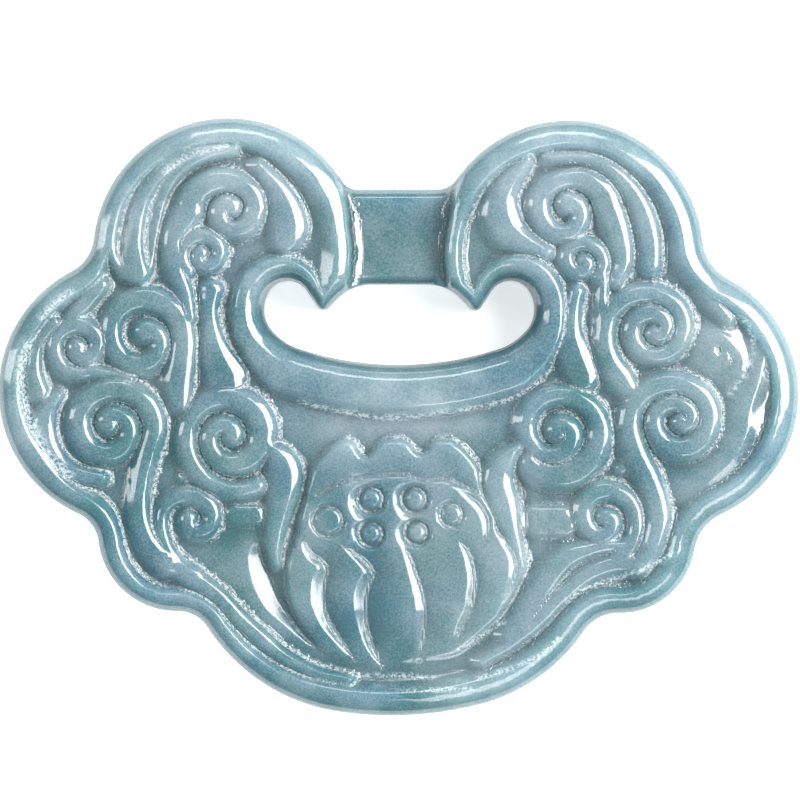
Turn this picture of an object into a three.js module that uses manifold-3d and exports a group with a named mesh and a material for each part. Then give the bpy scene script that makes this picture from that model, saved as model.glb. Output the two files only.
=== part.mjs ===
import * as THREE from 'three';
import Module from 'manifold-3d';

// Lock-shaped lotus pendant, carved from one piece of blue-green jade.
// It lies on its flat back at z = 0 with the carved face up. The cord bar is at
// +Y, and the origin is on the back, under the middle of the outline's box.

// Heights above the back, mm
const THICKNESS = 6;
const FLOOR_HEIGHT = 5.15;

// Sections of the edges from the back upwards: height and inset from the outline, mm
const PLATE_EDGE = [[0, 0.5], [0.6, 0], [4.5, 0], [5.4, 0.3], [THICKNESS, 0.85]];
const BAR_EDGE = [[0, 0.4], [0.5, 0], [3.5, 0], [4.2, 0.6]];

// Raised rim: distances in from the outline to its inner edge and foot, mm; it is
// wider on the halves of the shoulders that face the bar
const RIM_WIDTH = 1.15;
const RIM_FOOT = 1.65;
const RIM_EXTRA = 0.4;
const RIM_EXTRA_FROM = { x: 10.6, y: 7 };
const RIM_EXTRA_OVER = { x: 4, y: 3 };

// Lobes of the outline, mm
const LEFT_SHOULDER = { center: [-10.7, 10.27], radius: 8.45 };
const LEFT_SIDE = { center: [-16.66, 1.64], radius: 8.4 };
const LEFT_FOOT = { center: [-13.97, -7.27], radius: 4.86 };
const LEFT_BOTTOM = { center: [-2.06, -6.75], radius: 11.81 };
const RIGHT_BOTTOM = { center: [2.35, -7.21], radius: 11.11 };
const RIGHT_FOOT = { center: [13.85, -7.58], radius: 4.7 };
const RIGHT_SIDE = { center: [16.79, 1.39], radius: 8.21 };
const RIGHT_SHOULDER = { center: [10.59, 10.12], radius: 8.46 };
const MIDDLE_BOTTOM_RADIUS = 22.36;
const LEFT_NOTCH_RADII = [2.64, 2.26, 2.22];
const RIGHT_NOTCH_RADII = [2.55, 3.06, 2.96];

// Cord bar between the shoulders, mm
const BAR_TOP = 14.27;
const BAR_BOTTOM = 8.33;
const BAR_REACH = 5;
const BAR_REACH_BOTTOM = 9;
const BAR_TOP_FILLETS = { left: 1.15, right: 1.53 };

// Crescent opening below the bar, mm: circles of its right half, mirrored to the left
const OPENING_FLOOR = { center: [0, 23.43], radius: 20.15 };
const OPENING_LOW = { center: [4.96, 8.05], radius: 4 };
const OPENING_END = { center: [6.38, 6.78], radius: 2.1 };
const OPENING_TOP = { center: [6.98, 7.15], radius: 1.4 };
const HOOK_TIP = { center: [4.76, 7.13], radius: 0.45 };
const HOOK_SLOPE = 46;
const HOOK_FILLET_RADIUS = 2.9;
const HOOK_FULL_EDGE_AT = 2.8;
const HOOK_EDGE_SHARE = 0.3;

// Cloud scrolls: bands wound in spirals. Radii and half widths are given at every
// quarter turn from the start bearing, and turn 1 winds counterclockwise. The stem is
// the band's run before the spiral, as [x, y, half width]. In mm and degrees.
const SCROLLS = {
  leftTop: { center: [-10.4, 13], start: 180, turn: -1, height: 0.6, slope: 0.45,
    radii: [2.6, 1.8, 1.5, 1.2, 0.7], half: [0.7, 0.5, 0.5, 0.4, 0.4],
    stem: [[-13, 6.2, 0.2], [-13.9, 9.3, 0.4], [-13.8, 11.7, 0.55]] },
  leftInner: { center: [-12.2, 10.15], start: 225, turn: -1, height: 0.55, slope: 0.4,
    radii: [1.4, 1.25, 1.1, 0.8, 0.5], half: [0.3, 0.3, 0.3, 0.3, 0.3], stem: [] },
  leftMiddle: { center: [-15.8, 5.1], start: 0, turn: 1, height: 0.6, slope: 0.45,
    radii: [2.4, 2.3, 2.1, 1.75, 0.8], half: [0.55, 0.55, 0.4, 0.45, 0.4],
    stem: [[-13.6, 0.9, 0.45], [-13.7, 2.1, 0.7], [-13.5, 3.45, 0.65]] },
  leftSmall: { center: [-19.8, 4.45], start: 290, turn: -1, height: 0.55, slope: 0.45,
    radii: [1.7, 1.7, 1.4, 1.05, 0.75], half: [0.25, 0.3, 0.4, 0.4, 0.4],
    stem: [[-16.7, 2.4, 0.15], [-18, 2.7, 0.2]] },
  leftSide: { center: [-18, -0.45], start: 0, turn: 1, height: 0.7, slope: 0.5,
    radii: [2.8, 2.2, 1.9, 1.8, 1.1, 0.5], half: [0.45, 0.5, 0.45, 0.45, 0.4, 0.4],
    stem: [[-14.4, -9.15, 0.5], [-16.1, -6.4, 0.45], [-16.05, -4.3, 0.4], [-15.6, -2.4, 0.45]] },
  leftLow: { center: [-10.55, -1.15], start: 300, turn: -1, height: 0.7, slope: 0.5,
    radii: [3.6, 2.8, 2.45, 2.2, 1.9, 1.4, 0.75], half: [0.3, 0.4, 0.4, 0.7, 0.5, 0.4, 0.4], stem: [] },
  leftFoot: { center: [-12.7, -6.3], start: 180, turn: -1, height: 0.55, slope: 0.4,
    radii: [2.1, 1.4, 1.1, 0.8, 0.4], half: [0.25, 0.4, 0.4, 0.3, 0.4],
    stem: [[-12.7, -9.85, 0.4], [-14.55, -8, 0.3]] },
  rightTop: { center: [10.6, 13.15], start: 0, turn: 1, height: 0.6, slope: 0.45,
    radii: [2.6, 1.75, 1.75, 1.6, 0.7], half: [0.7, 0.4, 0.5, 0.4, 0.45],
    stem: [[13.65, 8.5, 0.25], [13.85, 11.2, 0.6]] },
  rightInner: { center: [11.5, 9.7], start: 315, turn: 1, height: 0.55, slope: 0.4,
    radii: [1.4, 1.25, 1.1, 0.75, 0.45], half: [0.25, 0.3, 0.3, 0.3, 0.3], stem: [] },
  rightMiddle: { center: [16, 5.45], start: 180, turn: -1, height: 0.6, slope: 0.45,
    radii: [3, 2.25, 1.8, 1.55, 1.4, 1.05, 0.7], half: [0.4, 0.45, 0.45, 0.35, 0.4, 0.45, 0.4],
    stem: [[14.6, 1.6, 0.4], [13.95, 2.45, 0.6], [13.15, 3.7, 0.55]] },
  rightSmall: { center: [20.35, 4], start: 300, turn: 1, height: 0.55, slope: 0.5,
    radii: [1.75, 0.8, 1.2, 0.75], half: [0.3, 0.45, 0.45, 0.4], stem: [] },
  rightSide: { center: [17.7, -0.2], start: 180, turn: -1, height: 0.7, slope: 0.5,
    radii: [3.2, 2.25, 1.75, 1.75, 1.7, 1, 0.55], half: [0.5, 0.5, 0.55, 0.5, 0.4, 0.4, 0.4],
    stem: [[15.1, -9.35, 0.4], [16.3, -6.5, 0.55], [15.8, -4.1, 0.55], [14.85, -2.1, 0.55]] },
  rightLow: { center: [10.15, -1], start: 225, turn: 1, height: 0.7, slope: 0.5,
    radii: [2.7, 2.5, 2.5, 2.3, 1.75, 0.95, 0.55], half: [0.55, 0.7, 0.4, 0.4, 0.45, 0.5, 0.5], stem: [] },
  rightFoot: { center: [12.9, -6.45], start: 0, turn: 1, height: 0.55, slope: 0.4,
    radii: [2, 1.9, 1.25, 0.9, 0.5], half: [0.3, 0.45, 0.45, 0.4, 0.4],
    stem: [[13.7, -8.7, 0.3], [14.65, -7.85, 0.4]] },
};

// Bands, leaves and petals: ridges along a curve through [x, y, half width], mm
const BANDS = {
  leftShoulder: { height: 0.6, slope: 0.45,
    line: [[-16.75, 9.35, 0.4], [-16.6, 12.85, 0.45], [-14.6, 15.7, 0.4], [-10.9, 16.65, 0.2]] },
  leftShoulderLeaf: { height: 0.55, slope: 0.5,
    line: [[-8.7, 15.7, 0.2], [-7.35, 13.8, 0.6], [-6.8, 11.85, 0.9], [-7.05, 11.1, 0.65]] },
  rightShoulder: { height: 0.6, slope: 0.5,
    line: [[9.3, 16.3, 0.1], [12.6, 15.9, 0.25], [15.05, 13.3, 0.45], [15.85, 9.6, 0.45]] },
  rightShoulderLeaf: { height: 0.55, slope: 0.5,
    line: [[8.05, 16.1, 0.2], [6.5, 13.6, 0.75], [6.7, 12.05, 1], [7.8, 11.1, 0.55], [9.3, 10.35, 0.2]] },
  leftStem: { height: 0.5, slope: 0.45,
    line: [[-11.6, 7.95, 0.5], [-11.75, 6.1, 0.35], [-11.3, 3.9, 0.75], [-10.75, 2.55, 1.15]] },
  rightStem: { height: 0.5, slope: 0.45,
    line: [[11.2, 7.85, 0.3], [10.85, 5.8, 0.45], [11.1, 3.9, 0.85], [11.65, 2.55, 0.75]] },
  rightOuterStem: { height: 0.5, slope: 0.4, line: [[12.85, 8.8, 0.2], [12.8, 5.5, 0.3], [13, 3.9, 0.5]] },
  leftSideBand: { height: 0.5, slope: 0.45,
    line: [[-21.5, 5.95, 0.2], [-22.75, 2.95, 0.3], [-22.4, 1.6, 0.4]] },
  leftSideCrescent: { height: 0.55, slope: 0.45,
    line: [[-21.25, 1.3, 0.15], [-22.15, -0.8, 0.55], [-20.95, -3, 0.5], [-18.5, -3.75, 0.2]] },
  rightSideCrescent: { height: 0.55, slope: 0.9,
    line: [[22.85, 4.2, 0.15], [21.75, 0, 0.5], [20.7, -2.4, 0.45], [18.2, -4.45, 0.2]] },
  leftFan: { height: 0.5, slope: 0.45, line: [[-20.5, 6.2, 0.2], [-19.6, 7.1, 0.4], [-18.55, 8.25, 0.3]] },
  rightFan: { height: 0.5, slope: 0.45, line: [[18.85, 7.95, 0.15], [19.6, 7.25, 0.3], [20.65, 6.15, 0.25]] },
  leftWave: { height: 0.55, slope: 0.45,
    line: [[-14.25, -9.15, 0.45], [-11.25, -11.1, 0.3], [-8.7, -13.6, 0.3], [-3.1, -16.4, 0.15]] },
  rightWave: { height: 0.55, slope: 0.5,
    line: [[15.1, -9.15, 0.45], [11.85, -9.85, 0.4], [8.9, -12.55, 0.4], [5.2, -15.3, 0.15]] },
  leftNub: { height: 0.3, slope: 0.3, line: [[-10.1, -6.1, 0.5], [-8.85, -6.1, 0.5]] },
  rightNub: { height: 0.3, slope: 0.3, line: [[8.45, -6.45, 0.8], [10.45, -6.45, 0.8]] },
  leftTallLeaf: { height: 0.6, slope: 0.45,
    line: [[-8.1, -1.75, 0.15], [-7.05, -3.7, 0.85], [-7.45, -6.3, 0.6], [-7.6, -9.2, 0.1]] },
  rightTallLeaf: { height: 0.6, slope: 0.45,
    line: [[7.8, -1.8, 0.15], [6.3, -3.8, 0.75], [6.85, -6.3, 0.6], [7.5, -8.7, 0.2]] },
  leftLowLeaf: { height: 0.55, slope: 0.95,
    line: [[-10.4, -8.25, 0.15], [-9.7, -10.7, 0.5], [-7.9, -13.05, 0.4], [-5.45, -14.35, 0.1]] },
  rightLowLeaf: { height: 0.55, slope: 0.65,
    line: [[14.1, -8, 0.15], [10.65, -8.85, 0.45], [8.7, -11.1, 0.55], [6.8, -13.65, 0.25]] },
  topPetalLeft: { height: 0.6, slope: 0.45,
    line: [[-4.1, -3.8, 1.4], [-3.75, -2.4, 0.85], [-3.4, -1.7, 0.2]] },
  topPetalMiddle: { height: 0.6, slope: 0.45,
    line: [[-0.5, -3.05, 1.4], [-0.5, -2.45, 1.25], [-0.45, -1.8, 0.75]] },
  topPetalRight: { height: 0.6, slope: 0.45,
    line: [[3.05, -3.8, 1.5], [3.1, -2.45, 1], [3, -1.65, 0.25]] },
  leftMound: { height: 0.55, slope: 0.45,
    line: [[-4.2, -4.8, 1.05], [-4.4, -6.35, 1.55], [-4.35, -7.7, 1.15]] },
  pillar: { height: 0.55, slope: 0.4, line: [[-0.65, -3.95, 0.65], [-0.7, -5.4, 0.4], [-0.6, -8, 0.45]] },
  rightMound: { height: 0.55, slope: 0.45, line: [[3.7, -4.95, 1], [4, -6.35, 1.5], [3.95, -7.7, 1.15]] },
  lowPetal1: { height: 0.6, slope: 0.8,
    line: [[-6.45, -8.2, 0.25], [-6.35, -10.6, 0.7], [-5.35, -13.1, 0.45], [-3.7, -14.6, 0.15]] },
  lowPetal2: { height: 0.6, slope: 0.75,
    line: [[-4.1, -8.7, 0.3], [-3.5, -10.7, 0.7], [-3.4, -12.85, 0.55], [-1.7, -15.15, 0.1]] },
  lowPetal3: { height: 0.6, slope: 0.5,
    line: [[-0.5, -8.95, 0.4], [-0.25, -11.3, 1], [-0.1, -13.45, 0.95], [0.45, -14.7, 0.45]] },
  lowPetal4: { height: 0.6, slope: 0.5,
    line: [[2.95, -8.7, 0.75], [3, -11, 1.1], [2.55, -13.35, 0.75], [2.2, -14.7, 0.3]] },
  lowPetal5: { height: 0.6, slope: 0.5,
    line: [[5.7, -8.45, 0.65], [5.8, -10.6, 0.85], [4.8, -12.85, 0.45], [3.85, -14.2, 0.15]] },
};

// Band that frames the opening, at these distances outside the opening's edge, from the
// middle of its floor round to the hook, with its half widths, mm
const FRAME_BAND = { height: 0.8, slope: 0.5 };
const FRAME_STATIONS = [
  { circle: OPENING_FLOOR, at: -90, offset: 1.6, half: 0.8 },
  { circle: OPENING_FLOOR, at: -78, offset: 1.7, half: 0.75 },
  { circle: OPENING_LOW, at: -63, offset: 1.85, half: 0.65 },
  { circle: OPENING_END, at: -41, offset: 1.6, half: 0.5 },
  { circle: OPENING_END, at: -10, offset: 1.3, half: 0.4 },
  { circle: OPENING_TOP, at: 20, offset: 1.25, half: 0.4 },
  { circle: OPENING_TOP, at: 57, offset: 1.15, half: 0.4 },
  { circle: OPENING_TOP, at: 91, offset: 0.85, half: 0.4 },
  { circle: OPENING_TOP, at: 122, offset: 0.6, half: 0.3 },
  { circle: OPENING_TOP, at: 160, offset: 0.35, half: 0.15 },
];

// Seeds of the lotus and dots between the scrolls: radius at the top and height, mm
const SEEDS = [
  { center: [-1.7, -5.1], radius: 0.45, height: 0.4 },
  { center: [-1.75, -7.35], radius: 0.45, height: 0.4 },
  { center: [1, -5.1], radius: 0.45, height: 0.4 },
  { center: [1.3, -7.1], radius: 0.45, height: 0.4 },
  { center: [-13.35, -3.8], radius: 0.25, height: 0.3 },
  { center: [13.9, -3.2], radius: 0.25, height: 0.3 },
];
const SEED_SLOPE = 0.25;

// Ring grooves cut in the lotus mounds, mm
const RING_GROOVES = [
  { center: [-4.25, -6.5], inner: 0.6, outer: 1.2 },
  { center: [3.2, -6], inner: 0.55, outer: 1.05 },
];
const GROOVE_FLANK = 0.15;
const GROOVE_FLOOR = 5.4;
const ROUND_SIDES = 14;

// Ridges: root below the floor and tapered tips, mm
const ROOT_DEPTH = 0.3;
const TIP_LENGTH = 0.25;
const TIP_SHARE = 0.7;
const TIP_RISE = 0.04;
// Shares of the bend's radius that a ridge keeps on the inner side of a tight bend
const INNER_FOOT_SHARE = 0.85;
const INNER_EDGE_SHARE = 0.7;
const CURVE_STEPS = 2;
const QUARTER_STEPS = 3;
const CHUNK_TURN = 140;

const CHORD_ERROR = 0.05;
const SAME_POINT = 0.02;
const CLIP_INSET = 0.06;
const CLIP_BOTTOM = 1;
const ABOVE_TOP = THICKNESS + 1;
const POCKET_ENDS = { left: -30, right: 210 };
const TINY = 1e-6;

const jade = new THREE.MeshStandardMaterial({
  color: 0x7fa6ac,
  roughness: 0.15,
  metalness: 0,
  flatShading: true,
});

const wasm = await Module();
wasm.setup();

const radians = (degrees) => (degrees * Math.PI) / 180;
const degrees = (angle) => (angle * 180) / Math.PI;
const clamp = (value, low, high) => Math.min(Math.max(value, low), high);
const bearing = ([x0, y0], [x1, y1]) => degrees(Math.atan2(y1 - y0, x1 - x0));
const apart = ([x0, y0], [x1, y1]) => Math.hypot(x1 - x0, y1 - y0);
const mirror = ([x, ...rest]) => [-x, ...rest];

function onCircle({ center, radius }, at, offset = 0) {
  return [
    center[0] + (radius + offset) * Math.cos(radians(at)),
    center[1] + (radius + offset) * Math.sin(radians(at)),
  ];
}

// The point at the distances toA from a and toB from b, left of the way from a to b
function meeting(a, toA, b, toB) {
  const span = apart(a, b);
  const along = (span ** 2 + toA ** 2 - toB ** 2) / (2 * span);
  const aside = Math.sqrt(toA ** 2 - along ** 2);
  const ux = (b[0] - a[0]) / span;
  const uy = (b[1] - a[1]) / span;
  return [a[0] + ux * along - uy * aside, a[1] + uy * along + ux * aside];
}

// Points of an arc between two bearings; way 1 runs counterclockwise
function arc(circle, from, to, way = 1) {
  const sweep = (((to - from) * way) % 360 + 360) % 360;
  const step = degrees(2 * Math.acos(1 - CHORD_ERROR / circle.radius));
  const count = Math.max(1, Math.round(sweep / step));
  return Array.from({ length: count + 1 }, (_, i) => onCircle(circle, from + (way * sweep * i) / count));
}

// Smooth curve through points with any number of values, in equal steps per span
function smoothCurve(points, steps) {
  const last = points.length - 1;
  const curve = [];
  for (let i = 0; i < last; i += 1) {
    const [a, b, c, d] = [i - 1, i, i + 1, i + 2].map((k) => points[clamp(k, 0, last)]);
    for (let j = 0; j < steps; j += 1) {
      const t = j / steps;
      curve.push(b.map((value, k) => 0.5 * (2 * value + (c[k] - a[k]) * t
        + (2 * a[k] - 5 * value + 4 * c[k] - d[k]) * t ** 2
        + (3 * value - a[k] - 3 * c[k] + d[k]) * t ** 3)));
    }
  }
  curve.push(points[last]);
  return curve;
}

function withoutRepeats(points) {
  return points.filter(([x, y], i) => {
    const [beforeX, beforeY] = points.at(i - 1);
    return Math.hypot(x - beforeX, y - beforeY) > SAME_POINT;
  });
}

// Outer contour, counterclockwise from a bearing on the left shoulder to one on the right
function lobeContour(from, to) {
  const middle = {
    center: meeting(LEFT_BOTTOM.center, MIDDLE_BOTTOM_RADIUS - LEFT_BOTTOM.radius,
      RIGHT_BOTTOM.center, MIDDLE_BOTTOM_RADIUS - RIGHT_BOTTOM.radius),
    radius: MIDDLE_BOTTOM_RADIUS,
  };
  const lobes = [LEFT_SHOULDER, LEFT_SIDE, LEFT_FOOT, LEFT_BOTTOM, middle,
    RIGHT_BOTTOM, RIGHT_FOOT, RIGHT_SIDE, RIGHT_SHOULDER];
  const notchRadii = [...LEFT_NOTCH_RADII, 0, 0, ...RIGHT_NOTCH_RADII];
  const points = [];
  let start = from;
  notchRadii.forEach((radius, i) => {
    const lobe = lobes[i];
    const next = lobes[i + 1];
    if (radius === 0) {
      const join = bearing(middle.center, (lobe === middle ? next : lobe).center);
      points.push(...arc(lobe, start, join));
      start = join;
      return;
    }
    const notch = {
      center: meeting(next.center, next.radius + radius, lobe.center, lobe.radius + radius),
      radius,
    };
    points.push(...arc(lobe, start, bearing(lobe.center, notch.center)));
    points.push(...arc(notch, bearing(notch.center, lobe.center), bearing(notch.center, next.center), -1));
    start = bearing(next.center, notch.center);
  });
  points.push(...arc(RIGHT_SHOULDER, start, to));
  return points;
}

// Circle that rounds the corner between the bar's underside and the right hook's flank
function hookFillet() {
  const normal = radians(90 - HOOK_SLOPE);
  const reach = HOOK_FILLET_RADIUS + HOOK_TIP.radius;
  const y = BAR_BOTTOM - HOOK_FILLET_RADIUS;
  const along = (y - HOOK_TIP.center[1] + reach * Math.sin(normal)) / Math.cos(normal);
  const x = HOOK_TIP.center[0] - reach * Math.cos(normal) - along * Math.sin(normal);
  return { center: [x, y], radius: HOOK_FILLET_RADIUS };
}

const fillet = hookFillet();
const leftFillet = { center: mirror(fillet.center), radius: fillet.radius };
const rightCrossing = meeting(fillet.center, fillet.radius, RIGHT_SHOULDER.center, RIGHT_SHOULDER.radius);
const leftCrossing = meeting(LEFT_SHOULDER.center, LEFT_SHOULDER.radius, leftFillet.center, fillet.radius);
const rightCrossingAt = bearing(fillet.center, rightCrossing);
const leftCrossingAt = bearing(fillet.center, mirror(leftCrossing));

// Right half of the opening's edge, from a bearing on the fillet under the bar, round
// the hook and the end of the crescent, to the middle of its floor
function openingHalf(from) {
  const flank = 90 - HOOK_SLOPE;
  const span = apart(OPENING_TOP.center, HOOK_TIP.center);
  const lean = degrees(Math.acos((OPENING_TOP.radius + HOOK_TIP.radius) / span));
  const tangent = bearing(OPENING_TOP.center, HOOK_TIP.center) - lean;
  const topToEnd = bearing(OPENING_END.center, OPENING_TOP.center);
  const endToLow = bearing(OPENING_LOW.center, OPENING_END.center);
  const lowToFloor = bearing(OPENING_FLOOR.center, OPENING_LOW.center);
  return [
    ...arc(fillet, from, flank, -1),
    ...arc(HOOK_TIP, flank + 180, tangent + 180),
    ...arc(OPENING_TOP, tangent, topToEnd, -1),
    ...arc(OPENING_END, topToEnd, endToLow, -1),
    ...arc(OPENING_LOW, endToLow, lowToFloor, -1),
    ...arc(OPENING_FLOOR, lowToFloor, -90, -1),
  ];
}

// Whole edge of the carved plate, counterclockwise, without the bar
const plateOutline = withoutRepeats([
  ...lobeContour(bearing(LEFT_SHOULDER.center, leftCrossing), bearing(RIGHT_SHOULDER.center, rightCrossing)),
  ...openingHalf(rightCrossingAt),
  ...openingHalf(leftCrossingAt).map(mirror).reverse(),
]);

function barOutline() {
  const topFillet = (shoulder, radius, side) => {
    const y = BAR_TOP + radius;
    const across = Math.sqrt((shoulder.radius + radius) ** 2 - (y - shoulder.center[1]) ** 2);
    return { center: [shoulder.center[0] - side * across, y], radius };
  };
  const left = topFillet(LEFT_SHOULDER, BAR_TOP_FILLETS.left, -1);
  const right = topFillet(RIGHT_SHOULDER, BAR_TOP_FILLETS.right, 1);
  return withoutRepeats([
    [BAR_REACH, BAR_REACH_BOTTOM],
    [BAR_REACH, BAR_TOP],
    ...arc(right, bearing(right.center, RIGHT_SHOULDER.center), -90, -1),
    ...arc(left, -90, bearing(left.center, LEFT_SHOULDER.center), -1),
    [-BAR_REACH, BAR_TOP],
    [-BAR_REACH, BAR_REACH_BOTTOM],
    ...arc(fillet, leftCrossingAt, 90).map(mirror),
    ...arc(fillet, rightCrossingAt, 90).reverse(),
  ]);
}

// Counterclockwise outline moved inwards by a distance for each point, at a height
function insetRing(points, insetAt, height) {
  return points.map((point, i) => {
    const before = points.at(i - 1);
    const after = points[(i + 1) % points.length];
    const length = Math.hypot(after[0] - before[0], after[1] - before[1]);
    const inset = insetAt(point);
    return [
      point[0] - ((after[1] - before[1]) / length) * inset,
      point[1] + ((after[0] - before[0]) / length) * inset,
      height,
    ];
  });
}

// Share of the edge's rounding, which thins out towards the hook tips
function edgeShare([x, y]) {
  const fromTip = Math.hypot(Math.abs(x) - HOOK_TIP.center[0], y - HOOK_TIP.center[1]);
  return clamp(fromTip / HOOK_FULL_EDGE_AT, HOOK_EDGE_SHARE, 1);
}

function rimExtra([x, y]) {
  const inwards = clamp((RIM_EXTRA_FROM.x - Math.abs(x)) / RIM_EXTRA_OVER.x, 0, 1);
  const upwards = clamp((y - RIM_EXTRA_FROM.y) / RIM_EXTRA_OVER.y, 0, 1);
  return RIM_EXTRA * inwards * upwards;
}

// Closed solid through rings of equally many points; the end faces are given as triangles
function loft(rings, endFace) {
  const size = rings[0].length;
  const end = (rings.length - 1) * size;
  const triangles = [];
  for (let i = 0; i < end; i += size) {
    for (let j = 0; j < size; j += 1) {
      const a = i + j;
      const b = i + ((j + 1) % size);
      triangles.push(a, b, b + size, a, b + size, a + size);
    }
  }
  endFace.forEach(([a, b, c]) => triangles.push(a, c, b, end + a, end + b, end + c));
  return new wasm.Manifold(new wasm.Mesh({
    numProp: 3,
    vertProperties: new Float32Array(rings.flat(2)),
    triVerts: new Uint32Array(triangles),
  }));
}

// Closed solid through level rings, from the lowest up
function stack(rings) {
  const face = rings[0].map(([x, y]) => new THREE.Vector2(x, y));
  return loft(rings, THREE.ShapeUtils.triangulateShape(face, []));
}

function cone(center, radiusLow, low, radiusHigh, high) {
  const ring = (radius, height) => Array.from({ length: ROUND_SIDES },
    (_, i) => [...onCircle({ center, radius }, (360 * i) / ROUND_SIDES), height]);
  return stack([ring(radiusLow, low), ring(radiusHigh, high)]);
}

// Unit directions along a line, one for each point
function directionsOf(line) {
  return line.map((_, i) => {
    const [x0, y0] = line[Math.max(i - 1, 0)];
    const [x1, y1] = line[Math.min(i + 1, line.length - 1)];
    const length = Math.hypot(x1 - x0, y1 - y0);
    return [(x1 - x0) / length, (y1 - y0) / length];
  });
}

// Bend of a line at each point, 1/mm, positive to the left
function bendsOf(line) {
  return line.map(([x, y], i) => {
    if (i === 0 || i === line.length - 1) return 0;
    const [x0, y0] = line[i - 1];
    const [x1, y1] = line[i + 1];
    const cross = (x - x0) * (y1 - y) - (y - y0) * (x1 - x);
    const sides = Math.hypot(x - x0, y - y0) * Math.hypot(x1 - x, y1 - y) * Math.hypot(x1 - x0, y1 - y0);
    return (2 * cross) / sides;
  });
}

// Ridge with sloping flanks along a line of [x, y, half width], tapered at both ends;
// it comes in chunks that each turn too little to meet themselves
function ridge(line, { height, slope }) {
  const crest = FLOOR_HEIGHT + height;
  const root = FLOOR_HEIGHT - ROOT_DEPTH;
  const flank = slope * (1 + ROOT_DEPTH / height);
  const last = line.length - 1;
  const directions = directionsOf(line);
  const bends = bendsOf(line);

  const section = ([x, y, half], [tx, ty], bend, drop, ahead) => {
    const leftRadius = 1 / Math.max(bend, TINY);
    const rightRadius = 1 / Math.max(-bend, TINY);
    const foot = half + flank * (1 - drop / (height + ROOT_DEPTH));
    return [
      [-Math.min(foot, rightRadius * INNER_FOOT_SHARE), root],
      [Math.min(foot, leftRadius * INNER_FOOT_SHARE), root],
      [Math.min(half, leftRadius * INNER_EDGE_SHARE), crest - drop],
      [-Math.min(half, rightRadius * INNER_EDGE_SHARE), crest - drop],
    ].map(([aside, z]) => [x + tx * ahead - ty * aside, y + ty * ahead + tx * aside, z]);
  };

  const tip = (i, way) => {
    const [x, y, half] = line[i];
    const narrow = [x, y, half * TIP_SHARE];
    const length = Math.min(half, TIP_LENGTH);
    const fall = height + ROOT_DEPTH - TIP_RISE;
    return [
      section(narrow, directions[i], 0, 0, way * length),
      section(narrow, directions[i], 0, fall, way * (length + flank)),
    ];
  };

  const rings = [
    ...tip(0, -1).reverse(),
    ...line.map((point, i) => section(point, directions[i], bends[i], 0, 0)),
    ...tip(last, 1),
  ];
  const chunks = [];
  let first = 0;
  let turned = 0;
  for (let i = 1; i < rings.length; i += 1) {
    const [tx, ty] = directions[clamp(i - 3, 0, last)];
    const [nextX, nextY] = directions[clamp(i - 2, 0, last)];
    turned += Math.abs(degrees(Math.asin(clamp(tx * nextY - ty * nextX, -1, 1))));
    if (i === rings.length - 1 || turned > CHUNK_TURN) {
      chunks.push(loft(rings.slice(first, i + 1), [[0, 1, 2], [0, 2, 3]]));
      first = i;
      turned = 0;
    }
  }
  return chunks;
}

// Line of a scroll: its stem, then the spiral
function scrollLine({ center, start, turn, radii, half, stem }) {
  const spiral = smoothCurve(radii.map((radius, i) => [radius, half[i]]), QUARTER_STEPS)
    .map(([radius, width], i) => {
      const at = start + (turn * 90 * i) / QUARTER_STEPS;
      return [...onCircle({ center, radius }, at), width];
    });
  if (stem.length === 0) return spiral;
  const run = smoothCurve([...stem, spiral[0], spiral[1]], CURVE_STEPS);
  return [...run.slice(0, -(CURVE_STEPS + 1)), ...spiral];
}

function frameLine() {
  const right = FRAME_STATIONS.map(({ circle, at, offset, half }) => [...onCircle(circle, at, offset), half]);
  return smoothCurve([...right.slice(1).map(mirror).reverse(), ...right], CURVE_STEPS);
}

function carving() {
  const pieces = [
    ...Object.values(SCROLLS).flatMap((scroll) => ridge(scrollLine(scroll), scroll)),
    ...Object.values(BANDS).flatMap((band) => ridge(smoothCurve(band.line, CURVE_STEPS), band)),
    ...ridge(frameLine(), FRAME_BAND),
    ...SEEDS.map(({ center, radius, height }) => cone(center, radius + SEED_SLOPE, FLOOR_HEIGHT - ROOT_DEPTH,
      radius, FLOOR_HEIGHT + height)),
  ];
  return pieces.reduce((whole, piece) => whole.add(piece));
}

function groove({ center, inner, outer }) {
  const dug = cone(center, outer - GROOVE_FLANK, GROOVE_FLOOR, outer, ABOVE_TOP);
  return dug.subtract(cone(center, inner + GROOVE_FLANK, GROOVE_FLOOR - 1, inner, ABOVE_TOP + 1));
}

function pendant() {
  const plate = stack(PLATE_EDGE.map(([height, inset]) => (
    insetRing(plateOutline, (point) => inset * edgeShare(point), height))));
  const pocketEdge = withoutRepeats(lobeContour(POCKET_ENDS.left, POCKET_ENDS.right));
  const rimRing = (inset, height) => insetRing(pocketEdge, (point) => inset + rimExtra(point), height);
  const pocket = stack([
    rimRing(RIM_FOOT, FLOOR_HEIGHT),
    rimRing(RIM_WIDTH, THICKNESS),
    rimRing(RIM_WIDTH, ABOVE_TOP),
  ]);
  const within = stack([CLIP_BOTTOM, ABOVE_TOP].map((height) => (
    insetRing(plateOutline, () => CLIP_INSET, height))));
  const carved = plate.subtract(pocket).add(carving().intersect(within));
  const grooved = RING_GROOVES.reduce((whole, ring) => whole.subtract(groove(ring)), carved);
  const edge = barOutline();
  const bar = stack(BAR_EDGE.map(([height, inset]) => insetRing(edge, () => inset, height)));
  return grooved.add(bar);
}

function geometryOf(solid) {
  const { vertProperties, triVerts } = solid.getMesh();
  const geometry = new THREE.BufferGeometry();
  geometry.setAttribute('position', new THREE.BufferAttribute(vertProperties, 3));
  geometry.setIndex(new THREE.BufferAttribute(triVerts, 1));
  return geometry;
}

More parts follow.
